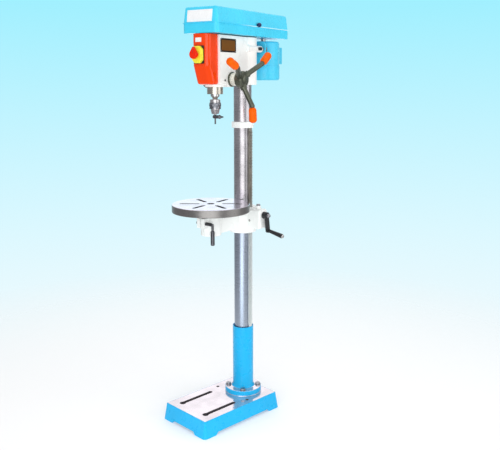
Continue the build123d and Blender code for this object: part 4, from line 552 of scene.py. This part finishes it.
fit(tip, bright_steel, "crank", "steel")

# Lock levers: bent steel bars with turned grips, screwed through the two split clamps.
# One clamps the table's stem in the boss, the other the bracket on the column.
LEVER_STEEL = (0.13, 0.13, 0.14)
lever_steel = steel("dark_lever_steel", LEVER_STEEL, rough=0.33, size=2 * mm, depth=0.02 * mm)
dress(lever_steel, "table_lock_lever", "bracket_lock_lever")

# Table: a round iron casting turned bright on top and on its rim, with six radial slots; the rim is painted
# darker than the top, painted shade.
# The cutter leaves fine rings round its centre; the stem below turns in the bracket's boss.
REACH = 193 * mm
TABLE_IRON = (0.64, 0.60, 0.68)
RIM_SHADE_IRON = (0.27, 0.26, 0.25)
TABLE_TOP = 918 * mm
RING_PITCH = 1.6 * mm
RING_DEPTH = 0.003 * mm
RING_WANDER = 0.6
RIM_DULLNESS = 0.14
WAVE_AT_UNIT_SCALE = math.pi / 10
table_x = REACH * math.sin(TABLE_SWING)
table_y = COLUMN_Y - REACH * math.cos(TABLE_SWING)
turned_iron = steel("turned_table_iron", TABLE_IRON, rough=0.2, size=2 * mm, depth=0.002 * mm)
tree = turned_iron.node_tree
rings = tree.nodes.new("ShaderNodeTexWave")
rings.wave_type = "RINGS"
rings.rings_direction = "Z"
rings.inputs["Scale"].default_value = WAVE_AT_UNIT_SCALE / RING_PITCH
rings.inputs["Distortion"].default_value = RING_WANDER
tree.links.new(coordinates(tree, centre=(table_x, table_y, 0)), rings.inputs["Vector"])
shader = shader_of(turned_iron)
relief(tree, shader, rings.outputs["Fac"], RING_DEPTH)
# Painted shade: the rim is painted darker than the top of the same turned iron.
lower = spread(tree, axes(tree)["Z"], 1, 0, TABLE_TOP - 1.5 * mm, TABLE_TOP - 0.5 * mm)
recolour(turned_iron, lower, RIM_SHADE_IRON)
fine = shader.inputs["Roughness"].links[0].from_socket
duller = sums(tree, "MULTIPLY", lower, RIM_DULLNESS)
tree.links.new(sums(tree, "ADD", fine, duller), shader.inputs["Roughness"])
dress(turned_iron, "work_table")

# Head: a white iron casting that carries the quill, the feed shaft and the belt cover.
# A dark line is painted along its top edge under the pan, a painted shadow; two screws lock it on the
# column and a third one guides the quill.
SHADOW_LINE_Z = 1560.4 * mm
SHADOW_LINE_EDGE = 0.4 * mm
PAINTED_SHADOW_DARK = (0.03, 0.04, 0.04)
HEAD_WHITE = (0.98, 0.985, 0.955)
head_paint = painted("white_paint_painted_shadow_line", HEAD_WHITE, WHITE_LUMPS, rough=0.32)
tree = head_paint.node_tree
# Painted shadow: a dark line along the casting's top edge, where the pan's shadow falls.
painted_shadow_line = spread(tree, axes(tree)["Z"], 0, 1, SHADOW_LINE_Z - SHADOW_LINE_EDGE, SHADOW_LINE_Z + SHADOW_LINE_EDGE)
recolour(head_paint, painted_shadow_line, PAINTED_SHADOW_DARK)
dress(head_paint, "head_casting")
dress(zinc, "head_set_screws", "front_cover_screws")

# Side plate: a thin stamped plate, bare, in dark bronze lacquer with a black border.
# Four small domed rivets hold it on the casting's right side.
HEAD_SWING = math.radians(13.5)
PLATE_Y = -169.5 * mm
PLATE_Z = 1523.5 * mm
PLATE_W = 103 * mm
PLATE_H = 50 * mm
PLATE_X = 47.2 * mm
PLATE_BORDER = 6 * mm
RIVET_R = 1.8 * mm
RIVET_T = 1.2 * mm
BRONZE = (0.19, 0.066, 0.001)
BORDER_BLACK = (0.012, 0.008, 0.006)
PANEL_EDGE = 1.2 * mm
PANEL_RISE = 0.08 * mm
BRUSH_SIZE = 1.2 * mm
plate_finish, tree, shader = finish("dark_bronze_plate", BRONZE, rough=0.36)
shader.inputs["Specular IOR Level"].default_value = 0.2
own = axes(tree, centre=(0, COLUMN_Y, 0), turn=HEAD_SWING)
half_w = PLATE_W / 2 - PLATE_BORDER
half_h = PLATE_H / 2 - PLATE_BORDER
along = inside(tree, own["Y"], PLATE_Y - half_w, PLATE_Y + half_w, PANEL_EDGE)
upward = inside(tree, own["Z"], PLATE_Z - half_h, PLATE_Z + half_h, PANEL_EDGE)
panel = sums(tree, "MULTIPLY", along, upward)
streak = grain(tree, BRUSH_SIZE, detail=2.0, stretch=(1, 0.06, 1))
bronze = clouded(tree, streak, BRONZE, 0.8)
tree.links.new(tint(tree, panel, BORDER_BLACK, bronze), shader.inputs["Base Color"])
tree.links.new(spread(tree, streak, 0.28, 0.46), shader.inputs["Roughness"])
relief(tree, shader, panel, PANEL_RISE)
dress(plate_finish, "speed_plate")
rivets = []
for side in (-1, 1):
    for end in (-1, 1):
        rivet_y = PLATE_Y + side * (PLATE_W - PLATE_BORDER) / 2
        rivet_z = PLATE_Z + end * (PLATE_H - PLATE_BORDER) / 2
        rivets.append(dome("rivet", RIVET_R, RIVET_T, (PLATE_X, rivet_y, rivet_z), rings=3))
plate_rivets = merge("plate_rivets", rivets)
swing(plate_rivets, HEAD_SWING)
fit(plate_rivets, bright_steel, "head", "steel")

# Front cover: a pressed steel shell in orange-red gloss paint, hooked over the casting's front.
# A small bare white label sits near its top.
RED_ORANGE = (0.95, 0.060, 0.001)
COVER_FACE_Y = -288 * mm
SMALL_LABEL = (26.4 * mm, 1.0 * mm, 15.5 * mm)
SMALL_LABEL_Z = 1540.3 * mm
SMALL_LABEL_X = -5.2 * mm
LABEL_RIM = 1.5 * mm
LABEL_SWELL = 0.3
LABEL_WHITE = (0.95, 0.95, 0.96)
PRESSED_LUMPS = 0.05 * mm
FRONT = (0, -1, 0)
red_paint = painted(
    "red_orange_paint", RED_ORANGE, PRESSED_LUMPS, rough=0.2, shine=0.03, coat=0.65, coat_rough=0.04
)
dress(red_paint, "front_cover")


def slab(name, size, at):
    """Start a flat or square piece."""
    clear_choice()
    bpy.ops.mesh.primitive_cube_add(size=1, location=at, scale=size)
    piece = bpy.context.object
    piece.name = name
    keep_place()
    return piece


def paper_plate(name, size, at):
    """Thin plate with soft edges and a slightly raised middle, upright and facing -Y."""
    width, thickness = size[:2]
    piece = slab(name, size, at)
    choose(piece, FRONT)
    draw_out(min(LABEL_RIM, width / 4), by=(0, -thickness * LABEL_SWELL, 0))
    done()
    soften(piece, 0.3 * mm, segments=2, angle=15)
    return piece


label_white = plastic("label_white", LABEL_WHITE, rough=0.3, size=2 * mm, depth=0.005 * mm, cloud=0.96)
place = (SMALL_LABEL_X, COVER_FACE_Y - SMALL_LABEL[1] / 2, SMALL_LABEL_Z)
small_label = paper_plate("cover_label", SMALL_LABEL, place)
swing(small_label, HEAD_SWING)
fit(small_label, label_white, "head", "cream_plastic")

# Switch: a black block set in the front cover, a yellow face with cut corners and a red knob.
# The knob is drawn out to a pointer, with a dark red line that shows where it stands.
SWITCH_X = -1 * mm
SWITCH_Z = 1487 * mm
KNOB_FACE_Y = -331.3 * mm
POINTER = (2.4 * mm, 0.8 * mm, 15 * mm)
POINTER_RISE = 13 * mm
SWITCH_YELLOW = (1.0, 0.94, 0.05)
KNOB_RED = (0.86, 0.025, 0.004)
POINTER_RED = (0.42, 0.010, 0.003)
dress(black_plastic, "switch_body")
dress(plastic("switch_yellow", SWITCH_YELLOW, rough=0.34), "switch_plate")
dress(plastic("switch_red", KNOB_RED, rough=0.3, shine=0.12), "switch_knob")
place = (SWITCH_X, KNOB_FACE_Y - POINTER[1] / 4, SWITCH_Z + POINTER_RISE)
pointer = paper_plate("knob_pointer", POINTER, place)
swing(pointer, HEAD_SWING)
fit(pointer, plastic("pointer_red", POINTER_RED, rough=0.34), "switch", "red_plastic")

# Belt cover: a pressed steel pan and a hinged lid in a paler blue gloss paint.
# The pan has a rolled lip at the seam, painted paler towards the back, a painted highlight.
# The lid's front carries a bare white label.
PALE_BLUE = (0.06, 0.69, 0.96)
LIP_HIGHLIGHT_BLUE = (0.55, 0.92, 1.0)
LIP_T = 3 * mm
LIP_EDGE = 0.3 * mm
LIP_HIGHLIGHT_FROM_Y = -150 * mm
LIP_HIGHLIGHT_FULL_Y = -40 * mm
LID_FRONT_Y = -289 * mm
LID_Z0 = 1601 * mm
LID_H = 57 * mm
LID_DRAFT = 8 * mm
LID_LABEL = (111.5 * mm, 1.2 * mm, 42.5 * mm)
LID_LABEL_X = 0.5 * mm
LID_LABEL_RISE = LID_H * 0.42
cover_paint = painted("pale_blue_paint", PALE_BLUE, PRESSED_LUMPS, rough=0.28)
tree = cover_paint.node_tree
own = axes(tree, centre=(0, COLUMN_Y, 0), turn=HEAD_SWING)
# Painted highlight: the lip's band is painted paler blue, more so towards the back.
lip = inside(tree, own["Z"], LID_Z0 - LIP_T, LID_Z0, LIP_EDGE)
rubbed_and_highlit = spread(tree, own["Y"], 0, 1, LIP_HIGHLIGHT_FROM_Y, LIP_HIGHLIGHT_FULL_Y)
recolour(cover_paint, sums(tree, "MULTIPLY", lip, rubbed_and_highlit), LIP_HIGHLIGHT_BLUE)
dress(cover_paint, "belt_pan", "belt_lid")
dress(bright_steel, "lid_hinge_pins")
lean = math.atan2(LID_DRAFT, LID_H)
label = paper_plate("lid_label", LID_LABEL, (LID_LABEL_X, -LID_LABEL[1] / 2, LID_LABEL_RISE))
settle(label, (0, LID_FRONT_Y, LID_Z0), (-lean, 0, 0))
swing(label, HEAD_SWING)
fit(label, label_white, "lid", "cream_plastic")

# Lid knob: a turned navy plastic knob on a short neck, for lifting the lid.
# Its stem is screwed through the lid's right side.
KNOB_X = 77.5 * mm
KNOB_Y = -11.5 * mm
KNOB_Z = 1606 * mm
KNOB_R = 8.5 * mm
KNOB_L = 12 * mm
NECK_R = 5 * mm
NECK_L = 4 * mm
COLLAR_FLARE = 0.7
COLLAR_L = 1.2 * mm
NAVY = (0.006, 0.010, 0.085)
neck = drum("neck", NECK_R, NECK_L * 2, (KNOB_X, KNOB_Y, KNOB_Z), sides=40, turn=ACROSS_X)
choose(neck, RIGHT)
draw_out(-(KNOB_R - NECK_R) * COLLAR_FLARE, by=(COLLAR_L, 0, 0))
done()
place = (KNOB_X + NECK_L + COLLAR_L * 2 / 3, KNOB_Y, KNOB_Z)
bulb = dome("bulb", KNOB_R, KNOB_L, place, rings=6)
lid_knob = merge("lid_pull_knob", [neck, bulb])
swing(lid_knob, HEAD_SWING)
fit(lid_knob, plastic("navy_plastic", NAVY, rough=0.28), "lid", "navy_plastic", "lid_knob")

# Drive: stepped alloy pulleys and a rubber V-belt inside the belt cover.
# The spindle's pulley turns on a splined sleeve in two bearings.
PULLEY_ALLOY = (0.62, 0.63, 0.64)
BELT_RUBBER = (0.014, 0.014, 0.014)
pulley_alloy = steel("turned_alloy", PULLEY_ALLOY, rough=0.3, stretch=(0.1, 0.1, 1))
dress(pulley_alloy, "spindle_pulley", "motor_pulley")
dress(bright_steel, "drive_sleeve", "sleeve_bearings", "quill_bearings", "spindle")
dress(bright_steel, "motor_shaft", "feed_shaft", "return_spring")
dress(plastic("belt_rubber", BELT_RUBBER, rough=0.7, size=1.2 * mm, depth=0.05 * mm), "drive_belt")

# Quill: a ground steel tube that slides out of the head, with the spindle turning inside it.
# The arbor below it, between spindle and chuck, is ground to the same finish.
QUILL_STEEL = (0.58, 0.54, 0.46)
TURNED = {"size": 1.2 * mm, "depth": 0.002 * mm, "stretch": (0.06, 0.06, 1)}
quill_steel = steel("ground_quill", QUILL_STEEL, rough=0.26, **TURNED)
dress(quill_steel, "quill", "chuck_arbor")

# Chuck: a bright turned body with three jaws, closed by a darkened steel sleeve with bevel teeth.
# The sleeve has a knurled grip band, and the key's cross bar is gripped in the jaws.
CHUCK_BAND_Z = 1303.5 * mm
CHUCK_BAND_H = 11 * mm
CHUCK_BAND_R = 22.7 * mm
CHUCK_BAND_DEEP = 0.7 * mm
CHUCK_BAND_WALL = 1.5 * mm
KNURLS = 48
SLEEVE_STEEL = (0.24, 0.25, 0.275)
BODY_STEEL = (0.62, 0.60, 0.61)
chuck_steel = steel("darkened_sleeve_steel", SLEEVE_STEEL, rough=0.22, **TURNED)
body_steel = steel("turned_chuck_steel", BODY_STEEL, rough=0.22, **TURNED)
dress(chuck_steel, "chuck_sleeve")
dress(body_steel, "chuck_body", "chuck_jaw_1", "chuck_jaw_2", "chuck_jaw_3")
dress(lever_steel, "chuck_key")
clear_choice()
bpy.ops.mesh.primitive_cylinder_add(
    vertices=2 * KNURLS, radius=CHUCK_BAND_R, depth=CHUCK_BAND_H, end_fill_type="NOTHING"
)
band = bpy.context.object
for vertex in band.data.vertices:
    turn = round(math.atan2(vertex.co.y, vertex.co.x) / math.pi * KNURLS)
    if turn % 2:
        vertex.co.xy *= (CHUCK_BAND_R - CHUCK_BAND_DEEP) / CHUCK_BAND_R
wall = band.modifiers.new("wall", "SOLIDIFY")
wall.thickness = CHUCK_BAND_WALL
wall.offset = -1
bpy.ops.object.modifier_apply(modifier=wall.name)
band.name = "chuck_knurl"
settle(band, (0, -REACH, CHUCK_BAND_Z))
soften(band, 0.2 * mm, segments=1, angle=40)
swing(band, HEAD_SWING)
fit(band, chuck_steel, "chuck_sleeve", "chuck_steel")

# Feed: a fixed dark flange, a satin depth dial with marks, and a cast hub with three bent arms.
# Each arm ends in an orange plastic grip; a spring in the left cap turns the shaft back.
FEED_Y = -147 * mm
FEED_Z = 1399 * mm
DIAL_X = 52.3 * mm
DIAL_R = 24.5 * mm
MARKS = 40
MARK_EVERY = 5
MARK_LONG = 11 * mm
MARK_SHORT = 6 * mm
MARK_INSET = 2 * mm
MARK_W = 0.5 * mm
MARK_T = 0.3 * mm
HUB_END_X = 105.6 * mm
HUB_CAP_R = 15 * mm
HUB_CAP_T = 5 * mm
GUNMETAL = (0.122, 0.132, 0.098)
GRIP_ORANGE = (0.95, 0.13, 0.002)
SATIN = (0.93, 0.91, 0.80)
gunmetal = steel("gunmetal", GUNMETAL, rough=0.34, size=6 * mm, depth=0.06 * mm, metal=0.8)
dress(gunmetal, "feed_hub", "feed_arms", "feed_flange", "spring_cap")
dress(plastic("grip_orange", GRIP_ORANGE, rough=0.3, shine=0.08), "feed_grips")
dress(steel("satin_dial", SATIN, rough=0.3, metal=0.5), "depth_dial")
marks = []
for count in range(MARKS):
    long = MARK_SHORT if count % MARK_EVERY else MARK_LONG
    mark = slab("mark", (long, MARK_W, MARK_T), (DIAL_X + MARK_INSET + long / 2, 0, DIAL_R))
    settle(mark, (0, FEED_Y, FEED_Z), (2 * math.pi * count / MARKS, 0, 0))
    marks.append(mark)
dial_marks = merge("dial_marks", marks)
soften(dial_marks, 0.08 * mm, segments=1)
swing(dial_marks, HEAD_SWING)
fit(dial_marks, black_plastic, "dial", "black_plastic")
hub_cap = dome("feed_hub_cap", HUB_CAP_R, HUB_CAP_T, (HUB_END_X, FEED_Y, FEED_Z))
swing(hub_cap, HEAD_SWING)
fit(hub_cap, gunmetal, "feed", "dark_iron")

# Motor: a rolled steel body with a fan cover below and a terminal box behind, in sky blue paint.
# It hangs on a plate and two ground bars that slide in the head to tighten the belt.
MOTOR_BLUE = (0.07, 0.63, 0.90)
ROLLED_LUMPS = 0.08 * mm
motor_paint = painted("motor_blue_paint", MOTOR_BLUE, ROLLED_LUMPS)
dress(motor_paint, "motor_body", "motor_fan_cover", "terminal_box", "motor_mount")
dress(bright_steel, "slide_bars")
dress(black_plastic, "cable_gland")

# Motor fittings: hexagon nuts hold the slide bars in the plate and four screws close the terminal box.
# A black ribbed nut draws the cable gland tight.
BAR_X = 48 * mm
BAR_Z = 1518 * mm
MOUNT_REAR_Y = 83 * mm
BAR_NUT_ACROSS = 24 * mm
BAR_NUT_T = 9 * mm
BAR_WASHER_R = 14 * mm
BOX_FACE_Y = 267.5 * mm
BOX_SCREW_X = 23 * mm
BOX_SCREWS_Z = (1471 * mm, 1525 * mm)
BOX_SCREW_R = 3.6 * mm
BOX_SCREW_T = 2.4 * mm
GLAND_Y = 247 * mm
GLAND_TOP = 1464 * mm
GLAND_NUT_R = 11 * mm
GLAND_NUT_T = 8 * mm
GLAND_RIBS = 18
GLAND_RIB_SHARE = 0.04
nuts = []
for side in (-1, 1):
    nut = bolt_head((0, 0, 0), BAR_NUT_ACROSS, BAR_NUT_T, BAR_WASHER_R, WASHER_T)
    settle(nut, (side * BAR_X, MOUNT_REAR_Y, BAR_Z), (-math.pi / 2, 0, 0))
    nuts.append(nut)
bar_nuts = merge("bar_nuts", nuts)
swing(bar_nuts, HEAD_SWING)
fit(bar_nuts, zinc, "motor", "bolt_steel")
screws = []
for side in (-1, 1):
    for screw_z in BOX_SCREWS_Z:
        screw = dome("screw", BOX_SCREW_R, BOX_SCREW_T, (0, 0, 0), rings=3)
        settle(screw, (side * BOX_SCREW_X, BOX_FACE_Y, screw_z), (0, 0, math.pi / 2))
        screws.append(screw)
box_screws = merge("terminal_box_screws", screws)
swing(box_screws, HEAD_SWING)
fit(box_screws, zinc, "motor", "bolt_steel")
place = (0, 0, GLAND_TOP - GLAND_NUT_T / 2)
ribbed = drum("gland_nut", GLAND_NUT_R, GLAND_NUT_T, place, sides=4 * GLAND_RIBS)
for vertex in ribbed.data.vertices:
    around = math.atan2(vertex.co.y, vertex.co.x)
    vertex.co.xy *= 1 + GLAND_RIB_SHARE * (math.cos(GLAND_RIBS * around) - 1)
soften(ribbed, 0.3 * mm, segments=2, angle=60)
settle(ribbed, (0, GLAND_Y, 0))
swing(ribbed, HEAD_SWING)
fit(ribbed, black_plastic, "motor", "black_plastic")

# Belt lock: a black moulded knob with six lobes.
# Its screw presses on the right slide bar and holds the motor where the belt is tight.
LOCK_X = 61.6 * mm
LOCK_Y = 26.5 * mm
LOCK_Z = 1518 * mm
LOCK_R = 7 * mm
LOCK_T = 12 * mm
LOBES = 6
LOBE_MEAN = 0.92
LOBE_SWELL = 0.1
LOCK_FACE_RIM = 1.5 * mm
LOCK_FACE_RISE = 1.0 * mm
place = (LOCK_X + LOCK_T / 2, 0, 0)
lock = drum("belt_lock_knob", LOCK_R, LOCK_T, place, sides=12 * LOBES, turn=ACROSS_X)
for vertex in lock.data.vertices:
    around = math.atan2(vertex.co.z, vertex.co.y)
    share = LOBE_MEAN + LOBE_SWELL * math.cos(LOBES * around)
    vertex.co.y *= share
    vertex.co.z *= share
choose(lock, RIGHT)
draw_out(LOCK_FACE_RIM, by=(LOCK_FACE_RISE, 0, 0))
done()
soften(lock, 0.8 * mm, angle=50)
settle(lock, (0, LOCK_Y, LOCK_Z))
swing(lock, HEAD_SWING)
fit(lock, black_plastic, "tension", "black_plastic", "tension_knob")

# Studio: a white floor that fades into a pale blue backdrop, under a pale ceiling.
# Soft boxes stand by the camera, low by the base, at the right and behind, and one hangs overhead.
# Bright metal mirrors a dim room on all sides but the backdrop's.
FLOOR_R = 2.6
FLOOR_SIDES = 96
FLOOR_SINK = 0.5 * mm
FLOOR_SOLID_R = 0.5
FLOOR_CLEAR_R = FLOOR_R * 0.92
FLOOR_GREY = (0.8, 0.8, 0.8)
FLOOR_GLOW = 0.25
CHALK = (0.97, 0.97, 0.98)
MIST = (0.72, 0.94, 1.0)
PALE_SKY = (0.36, 0.87, 1.0)
CEILING = (0.90, 0.88, 0.92)
DIM_ROOM = (0.36, 0.36, 0.38)
ROOM_LIGHT = (0.97, 0.99, 1.0)
ROOM_STRENGTH = 0.62
CHALK_BELOW = -0.42
MIST_AT = -0.2
SKY_AT = 0.1
SKY_ENDS = 0.12
CEILING_FROM = 0.2
TO_CAMERA = (0.735, -0.678, 0)
BACKDROP_BELOW = -0.95
ROOM_ABOVE = -0.7
WHITE_LIGHT = (1.0, 1.0, 1.0)
COOL_LIGHT = (0.84, 0.93, 1.0)
clear_choice()
bpy.ops.mesh.primitive_circle_add(
    vertices=FLOOR_SIDES, radius=FLOOR_R, fill_type="NGON", location=(0, 0, -FLOOR_SINK)
)
floor = bpy.context.object
floor.name = "studio_floor"
floor_finish, tree, shader = finish("floor_chalk", FLOOR_GREY, rough=0.7)
floor.data.materials.append(floor_finish)
distance = tree.nodes.new("ShaderNodeVectorMath")
distance.operation = "LENGTH"
tree.links.new(coordinates(tree), distance.inputs[0])
solid = spread(tree, distance.outputs["Value"], 1, 0, FLOOR_SOLID_R, FLOOR_CLEAR_R)
tree.links.new(solid, shader.inputs["Alpha"])
shader.inputs["Emission Color"].default_value = (*CHALK, 1.0)
shader.inputs["Emission Strength"].default_value = FLOOR_GLOW
world = bpy.data.worlds.new("studio")
bpy.context.scene.world = world
world.use_nodes = True
tree = world.node_tree
backdrop = tree.nodes["Background"]
room = tree.nodes.new("ShaderNodeBackground")
room.inputs["Color"].default_value = (*ROOM_LIGHT, 1.0)
room.inputs["Strength"].default_value = ROOM_STRENGTH
direction = tree.nodes.new("ShaderNodeTexCoord")
split = tree.nodes.new("ShaderNodeSeparateXYZ")
tree.links.new(direction.outputs["Generated"], split.inputs["Vector"])
height = split.outputs["Z"]
low = tint(tree, spread(tree, height, 0, 1, CHALK_BELOW, MIST_AT), CHALK, MIST)
sky = tint(tree, spread(tree, height, 0, 1, MIST_AT, SKY_AT), low, PALE_SKY)
sky = tint(tree, spread(tree, height, 0, 1, SKY_ENDS, CEILING_FROM), sky, CEILING)
ahead = tree.nodes.new("ShaderNodeVectorMath")
ahead.operation = "DOT_PRODUCT"
ahead.inputs[1].default_value = TO_CAMERA
tree.links.new(direction.outputs["Generated"], ahead.inputs[0])
ray = tree.nodes.new("ShaderNodeLightPath")
beside = spread(tree, ahead.outputs["Value"], 0, 1, BACKDROP_BELOW, ROOM_ABOVE)
walls = spread(tree, height, 1, 0, SKY_ENDS, CEILING_FROM)
dimmed = sums(tree, "MULTIPLY", sums(tree, "MULTIPLY", beside, walls), ray.outputs["Is Glossy Ray"])
tree.links.new(tint(tree, dimmed, sky, DIM_ROOM), backdrop.inputs["Color"])
seen = sums(tree, "MAXIMUM", ray.outputs["Is Camera Ray"], ray.outputs["Is Glossy Ray"])
seen = sums(tree, "MAXIMUM", seen, ray.outputs["Is Transmission Ray"])
either = tree.nodes.new("ShaderNodeMixShader")
tree.links.new(seen, either.inputs[0])
tree.links.new(room.outputs["Background"], either.inputs[1])
tree.links.new(backdrop.outputs["Background"], either.inputs[2])
tree.links.new(either.outputs["Shader"], tree.nodes["World Output"].inputs["Surface"])


def soft_box(name, at, aim, width, height, watts, colour=WHITE_LIGHT):
    """Area lamp at a place, facing a point and hidden from the camera."""
    lamp = bpy.data.lights.new(name, "AREA")
    lamp.shape = "RECTANGLE"
    lamp.size = width
    lamp.size_y = height
    lamp.energy = watts
    lamp.color = colour
    holder = bpy.data.objects.new(name, lamp)
    bpy.context.scene.collection.objects.link(holder)
    holder.location = at
    holder.visible_camera = False
    toward = [b - a for a, b in zip(at, aim)]
    flat = math.hypot(toward[0], toward[1])
    holder.rotation_euler = (math.atan2(flat, -toward[2]), 0, math.atan2(-toward[0], toward[1]))


soft_box("front_box", at=(2.11, -2.20, 1.15), aim=(0, 0, 1.0), width=2.9, height=2.1, watts=44)
soft_box(
    "low_box", at=(0.5, -0.8, 0.32), aim=(0, 0.03, 0.36), width=0.7, height=0.46, watts=2, colour=COOL_LIGHT
)
soft_box("side_box", at=(2.9, 1.35, 1.5), aim=(0, 0, 1.2), width=2.4, height=2.4, watts=27)
soft_box("top_box", at=(-0.3, 0.3, 3.4), aim=(0, 0, 0), width=2.4, height=2.4, watts=20)
soft_box("back_box", at=(-1.9, 1.75, 1.4), aim=(0, 0, 1.0), width=2.4, height=1.4, watts=6)

# Camera: it stands to the right of the machine's front, about level with the feed shaft.
# It looks slightly down, through a lens of normal length.
CAMERA_AT = (2.08696, -1.92367, 1.3889)
CAMERA_DIP = math.radians(11.5)
CAMERA_TURN = math.radians(45.77)
FILM_WIDTH_MM = 36
FOCAL_LENGTH_MM = 50.58
lens = bpy.data.cameras.new("camera")
camera = bpy.data.objects.new("camera", lens)
bpy.context.scene.collection.objects.link(camera)
camera.location = CAMERA_AT
camera.rotation_euler = (math.pi / 2 - CAMERA_DIP, 0, CAMERA_TURN)
lens.sensor_fit = "HORIZONTAL"
lens.sensor_width = FILM_WIDTH_MM
lens.lens = FOCAL_LENGTH_MM
bpy.context.scene.camera = camera
bpy.context.scene.view_settings.view_transform = "Standard"
